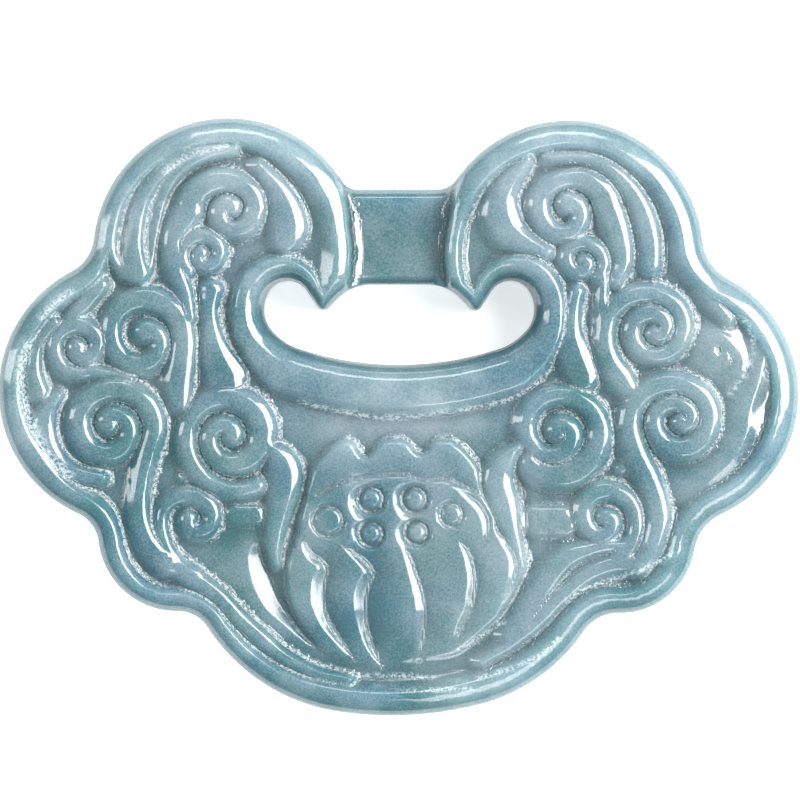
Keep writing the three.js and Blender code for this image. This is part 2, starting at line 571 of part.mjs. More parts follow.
// Joining the ridges can leave slivers of no volume beside the pendant: only the body counts
const body = pendant().decompose()
  .reduce((largest, piece) => (piece.numTri() > largest.numTri() ? piece : largest));
const jadeLock = new THREE.Mesh(geometryOf(body), jade);
jadeLock.name = 'jade_lock_plate';

const group = new THREE.Group();
group.add(jadeLock);

export default group;
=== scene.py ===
import math
from collections import namedtuple

import bpy
import numpy as np
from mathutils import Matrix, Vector
from mathutils.geometry import delaunay_2d_cdt


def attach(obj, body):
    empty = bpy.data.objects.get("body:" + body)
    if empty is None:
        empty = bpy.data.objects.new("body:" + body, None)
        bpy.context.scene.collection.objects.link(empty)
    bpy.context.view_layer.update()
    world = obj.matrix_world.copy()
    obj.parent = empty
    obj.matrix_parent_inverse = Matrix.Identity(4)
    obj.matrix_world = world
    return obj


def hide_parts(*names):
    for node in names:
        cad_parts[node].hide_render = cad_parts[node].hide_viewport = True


bl_info = {
    "name": "Jade Lotus Pendant",
    "version": (1, 0, 0),
    "blender": (4, 5, 0),
    "location": "View3D > Sidebar > Jade Pendant",
    "description": "Carves a lock-shaped jade pendant with cloud scrolls and a lotus, and lights it",
    "category": "Object",
}

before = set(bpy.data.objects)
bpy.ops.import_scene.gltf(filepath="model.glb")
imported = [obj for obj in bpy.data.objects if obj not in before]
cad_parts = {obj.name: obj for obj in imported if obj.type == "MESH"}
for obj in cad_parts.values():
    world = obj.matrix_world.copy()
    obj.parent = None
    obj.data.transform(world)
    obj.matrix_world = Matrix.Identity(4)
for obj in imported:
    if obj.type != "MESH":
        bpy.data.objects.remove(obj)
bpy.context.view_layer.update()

MM = 0.001
TINY = 1e-9
TRIANGLE_LIMIT = 200000

# Heights above the flat back, mm
CREST = 5.99
FLOOR = 5.15
BAR_LEVEL = 4.2

# Rings down the walls and round the back's chamfer: height and distance in from the edge, mm
WALL_RINGS = ((3, 0), (1.8, 0), (0.6, 0), (0.2, 0.08), (0, 0.3))

Circle = namedtuple("Circle", "x y radius")
Scroll = namedtuple("Scroll", "center start turn height run radii half stem", defaults=((),))
Band = namedtuple("Band", "height run line")
Cut = namedtuple("Cut", "ramp line")
Noise = namedtuple("Noise", "scale detail roughness", defaults=(0.55,))

# Lobes of the outline, mm
LEFT_SHOULDER = Circle(-10.7, 10.27, 8.45)
LEFT_SIDE = Circle(-16.66, 1.64, 8.4)
LEFT_FOOT = Circle(-13.97, -7.27, 4.86)
LEFT_BOTTOM = Circle(-2.06, -6.75, 11.81)
RIGHT_BOTTOM = Circle(2.35, -7.21, 11.11)
RIGHT_FOOT = Circle(13.85, -7.58, 4.7)
RIGHT_SIDE = Circle(16.79, 1.39, 8.21)
RIGHT_SHOULDER = Circle(10.59, 10.12, 8.46)
MIDDLE_BOTTOM_RADIUS = 22.36
LEFT_NOTCH_RADII = (2.64, 2.26, 2.22)
RIGHT_NOTCH_RADII = (2.55, 3.06, 2.96)

# Cord bar and crescent opening, mm; the opening's circles are of its right half
BAR_TOP = 14.27
BAR_BOTTOM = 8.33
BAR_TOP_FILLETS = (1.15, 1.53)
OPENING_FLOOR = Circle(0, 23.43, 20.15)
OPENING_LOW = Circle(4.96, 8.05, 4)
OPENING_END = Circle(6.38, 6.78, 2.1)
OPENING_TOP = Circle(6.98, 7.15, 1.4)
HOOK_TIP = Circle(4.76, 7.13, 0.45)
HOOK_SLOPE = 46
HOOK_FILLET_RADIUS = 2.9

# Profiles of the plate's edges and of the bar's: distance in from the edge and height, mm
OUTER_EDGE = (
    (-1, 2), (0, 4.9), (0.1, 5.18), (0.3, 5.42), (0.62, 5.68), (1.2, 5.94), (1.4, CREST), (9, CREST))
LIP_EDGE = (
    (-1, 2), (0, 4.3), (0.15, 4.85), (0.35, 5.3), (0.65, 5.65), (1, 5.86), (1.3, CREST), (9, CREST))
BAR_FACING_EDGE = (
    (-9, 4.2), (0, 4.2), (0.55, 4.43), (0.68, 4.65), (0.8, 5.1), (0.92, 5.5), (1.05, 5.62),
    (1.5, 5.81), (1.8, 5.93), (2, CREST), (9, CREST))
BAR_EDGE = ((-1, 2), (0, 3.55), (0.15, 3.85), (0.35, 4.07), (0.6, BAR_LEVEL), (9, BAR_LEVEL))

# At the bar's top the shoulders' sides start this much further up their profile, and it fades
# over this length of them, mm
SHELF = 0.55
SHELF_FADE = 3

# Half width, low end and high end of the zone that the bar's surface is in, mm
BAR_ZONE = (5.5, 7, 16.27)

# Raised rim: lobe, bearing in degrees, then the distances in from the outline to the
# rim's inner edge and to its foot, mm
RIM_STATIONS = (
    (LEFT_SHOULDER, -10, 1.4, 2.25),
    (LEFT_SHOULDER, 45, 1.5, 2.1),
    (LEFT_SHOULDER, 90, 1.4, 1.75),
    (LEFT_SHOULDER, 180, 1.07, 1.57),
    (LEFT_SIDE, 110, 1.3, 1.8),
    (LEFT_SIDE, 180, 1.3, 1.75),
    (LEFT_SIDE, 215, 1.6, 2.2),
    (LEFT_SIDE, 250, 1.2, 1.95),
    (LEFT_FOOT, 200, 1.2, 1.9),
    (LEFT_FOOT, 260, 0.95, 1.57),
    (LEFT_BOTTOM, 225, 1.1, 1.63),
    (LEFT_BOTTOM, 255, 1.4, 2.2),
    (RIGHT_BOTTOM, 285, 1.4, 2.2),
    (RIGHT_BOTTOM, 315, 1.3, 1.9),
    (RIGHT_FOOT, 280, 1.1, 1.7),
    (RIGHT_FOOT, 340, 1.1, 1.7),
    (RIGHT_SIDE, 290, 1.2, 1.7),
    (RIGHT_SIDE, 0, 1.25, 1.5),
    (RIGHT_SIDE, 70, 1.2, 1.7),
    (RIGHT_SHOULDER, 0, 1.4, 2.0),
    (RIGHT_SHOULDER, 90, 1.4, 1.9),
    (RIGHT_SHOULDER, 135, 1.45, 2.05),
    (RIGHT_SHOULDER, 190, 1.45, 2.1),
)

# Band along the opening: circle, bearing, then its outer edge and foot, as distances from
# the opening's edge, mm
LIP_STATIONS = (
    (OPENING_FLOOR, -90, 2.55, 3.35),
    (OPENING_FLOOR, -78, 2.55, 3.3),
    (OPENING_LOW, -63, 2.55, 3.15),
    (OPENING_END, -41, 2.1, 2.6),
    (OPENING_END, -10, 1.7, 2.2),
    (OPENING_TOP, 20, 1.65, 2.15),
    (OPENING_TOP, 57, 1.55, 2.05),
    (OPENING_TOP, 91, 1.25, 1.75),
    (OPENING_TOP, 122, 0.9, 1.4),
    (OPENING_TOP, 160, 0.5, 1),
)

# Cloud scrolls: radii and half widths at every quarter turn from the start bearing; turn 1
# winds counterclockwise, and the stem is the run before the spiral, as x, y, half width, mm
SCROLLS = {
    "left_top": Scroll(
        center=(-10.41, 12.97), start=180, turn=-1, height=0.62, run=0.35,
        radii=(2.57, 1.82, 1.5, 1.19, 0.69, 0.25),
        half=(0.69, 0.5, 0.53, 0.38, 0.44, 0.5),
        stem=((-12.98, 6.2, 0.19), (-13.3, 7.83, 0.28), (-13.92, 9.34, 0.38), (-14.11, 10.59, 0.44),
              (-13.8, 11.72, 0.56)),
    ),
    "left_inner": Scroll(
        center=(-12.17, 10.15), start=225, turn=-1, height=0.56, run=0.3,
        radii=(1.38, 1.25, 1.13, 0.81, 0.5, 0.19),
        half=(0.31, 0.31, 0.31, 0.31, 0.31, 0.31),
    ),
    "left_middle": Scroll(
        center=(-15.8, 5.14), start=0, turn=1, height=0.62, run=0.35,
        radii=(2.38, 2.32, 2.1, 1.75, 0.81, 0.25),
        half=(0.56, 0.56, 0.41, 0.44, 0.38, 0.5),
        stem=((-13.61, 0.94, 0.44), (-13.67, 2.07, 0.69), (-13.48, 3.45, 0.63)),
    ),
    "left_small": Scroll(
        center=(-19.81, 4.45), start=290, turn=-1, height=0.56, run=0.35,
        radii=(1.69, 1.69, 1.38, 1.07, 0.75, 0.25),
        half=(0.25, 0.31, 0.38, 0.38, 0.38, 0.44),
        stem=((-16.74, 2.38, 0.13), (-17.99, 2.69, 0.19)),
    ),
    "left_side": Scroll(
        center=(-17.99, -0.44), start=0, turn=1, height=0.68, run=0.4,
        radii=(2.82, 2.19, 1.91, 1.82, 1.13, 0.5, 0.06),
        half=(0.47, 0.5, 0.47, 0.44, 0.41, 0.38, 0.44),
        stem=((-14.36, -9.15, 0.5), (-15.61, -7.83, 0.5), (-16.18, -6.14, 0.47), (-16.05, -4.26, 0.41),
              (-15.61, -2.38, 0.44)),
    ),
    "left_low": Scroll(
        center=(-10.54, -1.13), start=300, turn=-1, height=0.68, run=0.4,
        radii=(3.63, 2.82, 2.44, 2.19, 1.88, 1.38, 0.75, 0.25),
        half=(0.31, 0.38, 0.41, 0.69, 0.5, 0.38, 0.38, 0.5),
    ),
    "left_foot": Scroll(
        center=(-12.73, -6.33), start=180, turn=-1, height=0.56, run=0.3,
        radii=(2.07, 1.38, 1.13, 0.81, 0.38),
        half=(0.25, 0.41, 0.38, 0.31, 0.38),
        stem=((-12.73, -9.84, 0.38), (-13.86, -9.09, 0.38), (-14.55, -8.02, 0.31)),
    ),
    "right_top": Scroll(
        center=(10.58, 13.16), start=0, turn=1, height=0.62, run=0.35,
        radii=(2.57, 1.75, 1.75, 1.63, 0.69, 0.25),
        half=(0.72, 0.41, 0.5, 0.38, 0.44, 0.5),
        stem=((13.65, 8.52, 0.25), (14.09, 9.71, 0.41), (13.83, 11.22, 0.63)),
    ),
    "right_inner": Scroll(
        center=(11.52, 9.71), start=315, turn=1, height=0.56, run=0.3,
        radii=(1.38, 1.25, 1.13, 0.75, 0.44, 0.13),
        half=(0.25, 0.28, 0.31, 0.31, 0.31, 0.31),
    ),
    "right_middle": Scroll(
        center=(16.03, 5.45), start=180, turn=-1, height=0.62, run=0.35,
        radii=(3.01, 2.26, 1.82, 1.57, 1.38, 1.07, 0.69, 0.25),
        half=(0.41, 0.44, 0.44, 0.34, 0.41, 0.44, 0.38, 0.38),
        stem=((14.59, 1.57, 0.38), (13.96, 2.44, 0.63), (13.15, 3.7, 0.56)),
    ),
    "right_small": Scroll(
        center=(20.35, 4.01), start=300, turn=1, height=0.36, run=0.75,
        radii=(1.5, 0.6, 0.95, 0.6, 0.25),
        half=(0.31, 0.44, 0.44, 0.38, 0.38),
    ),
    "right_side": Scroll(
        center=(17.72, -0.19), start=180, turn=-1, height=0.68, run=0.4,
        radii=(3.2, 2.26, 1.75, 1.75, 1.69, 1, 0.56, 0.13),
        half=(0.5, 0.5, 0.56, 0.5, 0.38, 0.38, 0.38, 0.38),
        stem=((15.09, -9.34, 0.38), (15.96, -8.02, 0.5), (16.34, -6.14, 0.56), (15.78, -4.07, 0.56),
              (14.84, -2.07, 0.56)),
    ),
    "right_low": Scroll(
        center=(10.14, -1), start=225, turn=1, height=0.68, run=0.4,
        radii=(2.69, 2.51, 2.51, 2.32, 1.75, 0.94, 0.56, 0.19),
        half=(0.56, 0.69, 0.38, 0.38, 0.44, 0.5, 0.5, 0.5),
    ),
    "right_foot": Scroll(
        center=(12.89, -6.45), start=0, turn=1, height=0.56, run=0.3,
        radii=(2.01, 1.88, 1.25, 0.88, 0.5, 0.19),
        half=(0.31, 0.44, 0.44, 0.38, 0.38, 0.38),
        stem=((13.71, -8.71, 0.31), (14.65, -7.83, 0.38)),
    ),
}

# Bands, leaves and petals: ridges along a curve through x, y, half width, mm
BANDS = {
    "left_shoulder_cloud": Band(height=0.74, run=0.3, line=(
        (-16.37, 9.46, 0.94), (-16.62, 10.59, 1.38), (-16.55, 12.03, 1.57), (-16.12, 13.6, 1.5),
        (-15.36, 14.85, 1.25), (-13.92, 15.85, 0.75), (-12.11, 16.54, 0.38), (-10.23, 16.79, 0.13))),
    "left_shoulder_leaf": Band(height=0.56, run=0.4, line=(
        (-8.72, 15.73, 0.19), (-7.66, 14.47, 0.44), (-7.03, 13.16, 0.75), (-6.78, 11.84, 0.94),
        (-7.03, 11.09, 0.63))),
    "left_stem": Band(height=0.5, run=0.35, line=(
        (-11.6, 7.96, 0.5), (-11.79, 6.58, 0.31), (-11.6, 5.14, 0.44), (-11.29, 3.88, 0.75),
        (-10.73, 2.57, 1.13))),
    "left_side_line": Band(height=0.5, run=0.35, line=(
        (-21.5, 5.95, 0.19), (-22.51, 4.51, 0.25), (-22.76, 2.94, 0.31), (-22.38, 1.57, 0.38))),
    "left_side_crescent": Band(height=0.56, run=0.35, line=(
        (-21.25, 1.32, 0.13), (-21.88, 0.44, 0.38), (-22.13, -0.81, 0.56), (-21.63, -2.38, 0.56),
        (-20.25, -3.45, 0.38), (-18.5, -3.76, 0.19))),
    "left_wave": Band(height=0.56, run=0.35, line=(
        (-14.24, -9.15, 0.44), (-12.73, -10.03, 0.44), (-11.23, -11.09, 0.31), (-9.97, -12.47, 0.31),
        (-8.72, -13.6, 0.31), (-7.22, -14.85, 0.25), (-5.09, -15.98, 0.19), (-3.08, -16.42, 0.13))),
    "left_nub": Band(height=0.31, run=0.25, line=(
        (-10.1, -6.08, 0.5), (-8.85, -6.08, 0.5))),
    "left_tall_leaf": Band(height=0.62, run=0.35, line=(
        (-8.1, -1.75, 0.13), (-7.22, -2.82, 0.75), (-7.03, -4.07, 0.88), (-7.28, -5.51, 0.69),
        (-7.59, -7.08, 0.44), (-7.72, -8.33, 0.25), (-7.59, -9.21, 0.06))),
    "left_fan": Band(height=0.5, run=0.35, line=(
        (-20.5, 6.2, 0.19), (-19.62, 7.08, 0.38), (-18.56, 8.27, 0.31))),
    "right_fan": Band(height=0.5, run=0.35, line=(
        (18.85, 7.96, 0.13), (19.6, 7.27, 0.31), (20.66, 6.14, 0.25))),
    "right_shoulder_cloud": Band(height=0.62, run=0.4, line=(
        (9.32, 16.29, 0.06), (11.33, 16.29, 0.13), (12.58, 15.91, 0.25), (13.65, 15.23, 0.31),
        (14.71, 13.97, 0.44), (15.4, 12.59, 0.5), (15.78, 11.09, 0.5), (15.84, 9.59, 0.44))),
    "right_shoulder_leaf": Band(height=0.56, run=0.4, line=(
        (8.07, 16.1, 0.19), (7.07, 14.85, 0.5), (6.5, 13.6, 0.75), (6.69, 12.03, 1),
        (7.82, 11.09, 0.56), (9.32, 10.34, 0.19))),
    "right_stem": Band(height=0.5, run=0.35, line=(
        (11.2, 7.83, 0.31), (10.95, 6.58, 0.31), (10.83, 5.14, 0.56), (11.08, 3.88, 0.88),
        (11.64, 2.57, 0.75))),
    "right_outer_stem": Band(height=0.5, run=0.3, line=(
        (12.83, 8.83, 0.19), (12.77, 7.33, 0.25), (12.83, 5.45, 0.31), (13.02, 3.88, 0.5))),
    "right_side_crescent": Band(height=0.38, run=0.85, line=(
        (22.86, 4.2, 0.13), (22.42, 2.32, 0.31), (21.79, 0.56, 0.5), (21.6, -0.81, 0.5),
        (20.73, -2.38, 0.44), (19.22, -3.82, 0.31), (18.22, -4.45, 0.19))),
    "right_wave": Band(height=0.56, run=0.4, line=(
        (15.09, -9.15, 0.44), (13.46, -9.21, 0.38), (11.83, -9.84, 0.38), (10.26, -11.15, 0.38),
        (8.88, -12.53, 0.38), (7.19, -14.04, 0.25), (5.19, -15.29, 0.13))),
    "right_nub": Band(height=0.31, run=0.25, line=(
        (8.45, -6.45, 0.81), (10.45, -6.45, 0.81))),
    "right_tall_leaf": Band(height=0.62, run=0.35, line=(
        (7.82, -1.82, 0.13), (6.63, -2.82, 0.56), (6.25, -4.07, 0.75), (6.63, -5.51, 0.75),
        (7.07, -7.08, 0.44), (7.51, -8.71, 0.19))),
    "right_low_leaf": Band(height=0.56, run=0.5, line=(
        (14.09, -8.02, 0.13), (12.33, -8.21, 0.25), (10.64, -8.83, 0.44), (9.26, -10.34, 0.56),
        (8.2, -11.97, 0.5), (6.82, -13.66, 0.25))),
}

# Cuts with a steep side and a long ramp: the low side is on the left of the way, at x, y,
# width of the steep side and depth, mm
CUTS = {
    "left_shoulder_outer": Cut(ramp=1.2, line=(
        (-14.67, 16.1, 0.31, 0.11), (-15.61, 15.35, 0.44, 0.33), (-16.43, 14.22, 0.5, 0.44),
        (-16.99, 12.84, 0.56, 0.46), (-17.37, 11.09, 0.56, 0.46), (-17.37, 10.15, 0.5, 0.39),
        (-17.24, 9.21, 0.31, 0.11))),
    "left_shoulder_inner": Cut(ramp=1.2, line=(
        (-13.42, 15.79, 0.25, 0.11), (-14.49, 14.97, 0.38, 0.28), (-15.24, 13.72, 0.44, 0.39),
        (-15.61, 12.66, 0.5, 0.39), (-15.8, 11.09, 0.5, 0.39), (-15.68, 9.96, 0.44, 0.33),
        (-15.49, 9.09, 0.25, 0.11))),
    "petal_1": Cut(ramp=2.0, line=(
        (-6.03, -7.71, 0.31, 0.17), (-5.4, -8.52, 0.5, 0.33), (-4.71, -9.02, 0.56, 0.39),
        (-4.4, -9.59, 0.88, 0.44), (-4.59, -10.4, 0.94, 0.44), (-4.65, -11.47, 0.88, 0.44),
        (-4.4, -12.59, 0.69, 0.44), (-3.83, -13.66, 0.44, 0.39), (-3.02, -14.91, 0.19, 0.11))),
    "petal_2": Cut(ramp=2.0, line=(
        (-3.4, -8.15, 0.25, 0.11), (-2.46, -8.71, 0.44, 0.33), (-1.77, -9.34, 0.56, 0.39),
        (-1.52, -9.84, 0.75, 0.44), (-1.83, -10.59, 0.88, 0.44), (-2.02, -11.59, 0.88, 0.44),
        (-1.95, -13.03, 0.69, 0.44), (-1.7, -14.29, 0.38, 0.39), (-1.27, -15.35, 0.13, 0.11))),
    "petal_3": Cut(ramp=2.0, line=(
        (0.24, -8.02, 0.29, 0.08), (0.74, -8.83, 0.44, 0.23), (1.12, -9.9, 0.51, 0.27),
        (1.49, -10.96, 0.64, 0.31), (1.68, -12.09, 0.64, 0.31), (1.62, -13.35, 0.57, 0.27),
        (1.3, -14.91, 0.29, 0.08))),
    "petal_4": Cut(ramp=1.6, line=(
        (3.81, -7.77, 0.21, 0.08), (4.44, -8.65, 0.42, 0.25), (4.75, -9.9, 0.48, 0.29),
        (4.75, -10.96, 0.55, 0.29), (4.5, -12.09, 0.55, 0.25), (4, -12.97, 0.42, 0.25),
        (3.37, -14.1, 0.21, 0.08))),
    "petal_5": Cut(ramp=0.9, line=(
        (6.32, -7.58, 0.3, 0.08), (7.01, -8.33, 0.37, 0.23), (7.32, -9.27, 0.46, 0.23),
        (7.19, -10.34, 0.46, 0.23), (6.69, -11.47, 0.46, 0.15), (6.32, -12.22, 0.3, 0.08))),
    "mounds_top": Cut(ramp=0.9, line=(
        (-6.03, -5.14, 0.33, 0.09), (-4.96, -4.7, 0.4, 0.22), (-3.71, -4.14, 0.4, 0.22),
        (-2.64, -3.82, 0.4, 0.26), (-1.02, -3.63, 0.33, 0.22), (0.49, -3.63, 0.33, 0.22),
        (1.49, -3.95, 0.33, 0.18), (3.06, -3.88, 0.4, 0.26), (3.93, -4.26, 0.4, 0.26),
        (4.75, -4.64, 0.4, 0.26), (5.38, -5.01, 0.25, 0.09))),
    "left_mound_side": Cut(ramp=1.4, line=(
        (-2.08, -4.07, 0.38, 0.08), (-2.64, -4.7, 0.46, 0.23), (-2.77, -5.51, 0.46, 0.23),
        (-2.46, -6.14, 0.46, 0.23), (-2.14, -6.45, 0.38, 0.23), (-2.58, -6.95, 0.46, 0.23),
        (-2.77, -7.83, 0.38, 0.08))),
    "pillar_side": Cut(ramp=1.4, line=(
        (0.55, -4.14, 0.38, 0.08), (0.11, -4.64, 0.46, 0.23), (0.05, -5.39, 0.46, 0.23),
        (0.43, -6.14, 0.46, 0.23), (0.74, -6.39, 0.38, 0.23), (0.24, -6.95, 0.46, 0.23),
        (0.3, -7.71, 0.46, 0.23), (0.8, -8.21, 0.29, 0.08))),
    "right_mound_side": Cut(ramp=0.9, line=(
        (3.68, -4.51, 0.29, 0.08), (4.56, -5.01, 0.46, 0.2), (5.19, -5.64, 0.46, 0.23),
        (5.56, -6.45, 0.46, 0.23), (5.5, -7.27, 0.38, 0.15), (5.06, -8.02, 0.29, 0.08))),
    "left_low_leaf": Cut(ramp=1.2, line=(
        (-8.85, -7.89, 0.63, 0.11), (-8.53, -8.52, 1, 0.44), (-8.03, -10.03, 1.25, 0.5),
        (-7.41, -11.47, 1.07, 0.5), (-6.59, -12.66, 0.69, 0.44), (-5.9, -13.6, 0.38, 0.33),
        (-5.09, -14.47, 0.13, 0.11))),
    "left_tall_leaf": Cut(ramp=0.6, line=(
        (-6.47, -2.01, 0.38, 0.07), (-5.84, -2.82, 0.56, 0.2), (-5.71, -3.95, 0.63, 0.23),
        (-6.03, -5.2, 0.63, 0.23), (-6.72, -6.77, 0.5, 0.23), (-7.22, -8.21, 0.31, 0.2),
        (-7.53, -9.4, 0.13, 0.07))),
    "right_tall_leaf": Cut(ramp=0.8, line=(
        (8.51, -1.44, 0.33, 0.07), (7.63, -2.19, 0.4, 0.21), (7.44, -3.32, 0.4, 0.25),
        (7.76, -4.57, 0.4, 0.25), (7.94, -5.95, 0.4, 0.25), (8.01, -7.21, 0.33, 0.21),
        (7.88, -8.21, 0.25, 0.07))),
}

# Edge of the lotus, counterclockwise, mm
LOTUS_EDGE = (
    (-6.03, -5.14), (-6.34, -6.14), (-6.4, -7.08), (-6.59, -8.02), (-7.09, -8.96), (-7.22, -10.21),
    (-7.03, -11.47), (-6.53, -12.72), (-5.59, -13.97), (-4.34, -14.97), (-2.96, -15.48),
    (-1.2, -15.73), (0.99, -15.48), (2.56, -15.23), (3.62, -14.97), (5.06, -13.85), (6.5, -12.53),
    (7.63, -10.65), (8.07, -9.09), (7.32, -7.83), (6.38, -7.08), (6.19, -6.14), (5.75, -5.33),
    (5.38, -4.57), (5.19, -3.45), (4.94, -2.82), (4.12, -1.88), (3.31, -1.32), (2.24, -1.32),
    (1.62, -2.07), (1.18, -2.07), (0.68, -1.5), (-0.08, -1.25), (-1.2, -1.44), (-1.89, -2.26),
    (-2.33, -2.19), (-2.71, -1.5), (-3.52, -1.32), (-4.65, -2.07), (-5.46, -3.01), (-5.9, -4.26),
)

# Lotus: rise and run of its flank, mm, the bend at the flank's edges as a share of the run, and
# how the rise fades towards the tips, as y in mm and the share left
LOTUS_RISE = 0.62
LOTUS_RUN = 0.35
LOTUS_BEND = 0.35
LOTUS_FADE = ((-15.6, 0.2), (-12, 1))

# Lighter and darker patches over the pendant, matched to the brightness seen on it: centre and reach, mm,
# and the share of pale stone added
PALE_AND_DARK_PATCHES = (
    (-10, 17.5, 5, 0.3),
    (12, 17.5, 6, 0.3),
    (0, 11.3, 4.5, -0.35),
    (-19, -2, 7, -0.3),
    (21, 7, 5, 0.2),
    (14, 0, 6, -0.2),
    (-2, 1.5, 6, 0.12),
    (-2, -11, 6, -0.2),
    (-11, -10, 6, -0.2),
    (-13, 8, 4, -0.1),
    (7, 9, 3, -0.15),
    (0, -17.6, 2.5, -0.15),
    (-23.3, -0.5, 2, 0.25),
    (-17, 12.5, 4, 0.2),
    (0, 0, 3, 0.25),
    (13, -11, 5, -0.15),
)

# Round beads in the carving: centre, radius of the top and height above the floor, mm
DOTS = (
    ((-13.35, -3.8), 0.25, 0.3),
    ((13.9, -3.2), 0.25, 0.3),
)
DOT_RUN = 0.3
DOT_BLEND = 0.15

# Frosted lines that the carver's tool left, whitened partly as a painted highlight: half width, then the
# line through x, y, mm
TOOL_MARKS = (
    (0.12, ((-6.22, 0.94), (-4.15, 0.44), (-2.02, 0.06), (0.05, -0.06), (2.68, 0.31), (4.75, 0.6),
            (7.26, 1.25), (8.95, 2.38))),
    (0.1, ((-3.08, -16.1), (1.62, -16.29), (5, -16.29), (8.38, -15.1), (9.95, -13.78))),
    (0.1, ((-1.52, -16.92), (1.93, -17.04), (4.44, -16.92))),
    (0.14, ((10.51, -11.47), (11.77, -10.65), (14.9, -9.65), (17.03, -8.58))),
    (0.12, ((3.68, -14.6), (6.57, -12.78))),
    (0.15, ((-14.67, 15.29), (-12.98, 16.35), (-10.79, 16.95))),
    (0.3, ((-23.13, 4.51), (-23.63, 2.94), (-23.45, 1.07), (-22.82, -0.81), (-21.88, -2.38),
           (-20.63, -3.63))),
    (0.16, ((-22.38, 6.2), (-21.38, 7.21), (-20.44, 7.9))),
    (0.12, ((21.26, 6.2), (21.73, 5.89), (22.11, 4.82), (21.98, 3.57), (21.48, 2.44), (20.54, 1.44))),
)

# Seeds of the lotus, each a bead in a round socket: centre, radii of bead and socket, depth, mm
SEEDS = (
    ((-1.72, -5.13), 0.56, 1.07, 0.34),
    ((-1.72, -7.29), 0.53, 1.03, 0.34),
    ((0.99, -5.13), 0.56, 1.07, 0.34),
    ((1.13, -7.22), 0.5, 1, 0.34),
    ((-4.43, -6.48), 0.85, 1.16, 0.3),
    ((3.29, -6.1), 0.6, 0.94, 0.25),
)
SEED_WALL = 0.24
BEAD_INSET = 0.5
BEAD_BEND = 0.45

# Flanks are steep where they face this way, and run longer where they face away from it
STEEP_WAY = (math.cos(math.radians(20)), math.sin(math.radians(20)))
SLANT = 0.9
SLANT_POWER = 1.5

# Chamfers along edges that face the steep way: slope, bend in mm, width on a ridge as a share of
# its half width and on the rim in mm, and how soon they come in as an edge turns
CHAMFER_SLOPE = 0.42
CHAMFER_BEND = 0.05
CHAMFER_SHARE = 0.65
RIM_CHAMFER = 0.45
CHAMFER_ONSET = 1.3

# Ridges: crown, least half width and blend with other forms, mm; bend at the edges of a flank as
# a share of its run; how many runs the longest flank reaches
DOME = 0.02
LEAST_HALF = 0.05
BLEND = 0.16
EDGE_BEND = 0.3
RIM_BEND = 0.2
RIDGE_REACH = 5.6

# Blends of the carving with the plate's edges and with the sides that face the bar, mm
EDGE_BLEND = 0.12
BAR_SIDE_BLEND = 0.2

# Cuts: bends at the foot and top of the steep side as shares of its width, the ramp's curve, how
# many widths the steep side reaches, and the margin round a cut and the blend of two, mm
CUT_FOOT_BEND = 0.15
CUT_TOP_BEND = 0.3
CUT_RAMP_POWER = 1.6
CUT_REACH = 1.3
CUT_MARGIN = 0.2
CUT_BLEND = 0.08

# Points per span of a curve, and per quarter turn of a scroll
CURVE_STEPS = 8
LOTUS_STEPS = 4
MARK_STEPS = 6
STEM_STEPS = 10
QUARTER_STEPS = 24

# Grid that the relief is worked out on, mm, and the curvatures, per mm, above which the mesh
# takes every point or every second one
GRID = 0.075
GRID_HALF = (25.2, 18.9)
FINE_CURVATURE = 6
MEDIUM_CURVATURE = 1.2

# Rings of points along the edges, their spacing and the gap to the grid, mm
EDGE_RINGS = (0.03, 0.08, 0.15, 0.24, 0.34)
LOOP_STEP = 0.2
RING_GAP = 0.6 * GRID

# Tolerance for the edge's points, distance at which points merge, and gap that counts as closed, mm
EDGE_TOLERANCE = 1e-4
MERGE_DISTANCE = 1e-7
LEAST_GAP = 0.01

# Fades of the finish, each from its start to its end: depths and distances in mm, curvatures per
# mm, slopes, and the width of a tool mark in half widths
# The first two fade in the painted shade: deep in the carving and near the plate's edge
PAINTED_SHADE_DEPTH = (0, 0.3)
EDGE_SHADE = (0.72, 0.12)
SATIN_DEPTH = (0, -0.15)
# The next two pick the foot of the steps that face the light, where the white is a painted highlight
FOOT_CURVATURE = (2.38, 5.88)
FOOT_SLOPE = (0.07, 0.42)
MARK_WIDTH = (1.5, 0.5)
UNMARKED_EDGE = (0.6, 0.9)
SMOOTH_EDGE = (0.3, 0.6)
BAR_SIDE_PLAIN = 0.8

# Reach that the ground around a point is averaged over for the painted shade, in grid points, and shares of
# the finish: painted shade at the edge and on the walls and back, white frost that is partly a painted
# highlight at sideways feet and along the marks, and the even pale share
PAINTED_SHADE_REACH = 7
EDGE_SHADE_SHARE = 0.75
WALL_PAINTED_SHADE = 0.3
SIDEWAYS_FOOT = 0.15
MARK_STRENGTH = 0.9
PALENESS = 0.4

# Patterns in the jade: noise scale per metre, detail and roughness, and the range that is used
CLOUD_NOISE = Noise(450.0, 2.5, 0.5)
CLOUD_RANGE = (0.3, 0.7)
PATCH_NOISE = Noise(120.0, 2.0)
PATCH_RANGE = (0.38, 0.62)
TINT_NOISE = Noise(160.0, 1.0)
TINT_RANGE = (0.33, 0.67)
GRAIN_NOISE = Noise(8000.0, 2.0, 0.6)
FROST_NOISE = Noise(6000.0, 2.0, 0.6)
FROST_RANGE = (0.4, 0.58)
WAVE_NOISE = Noise(420.0, 2.0)
SPARKLE_NOISE = Noise(7000.0, 2.0)

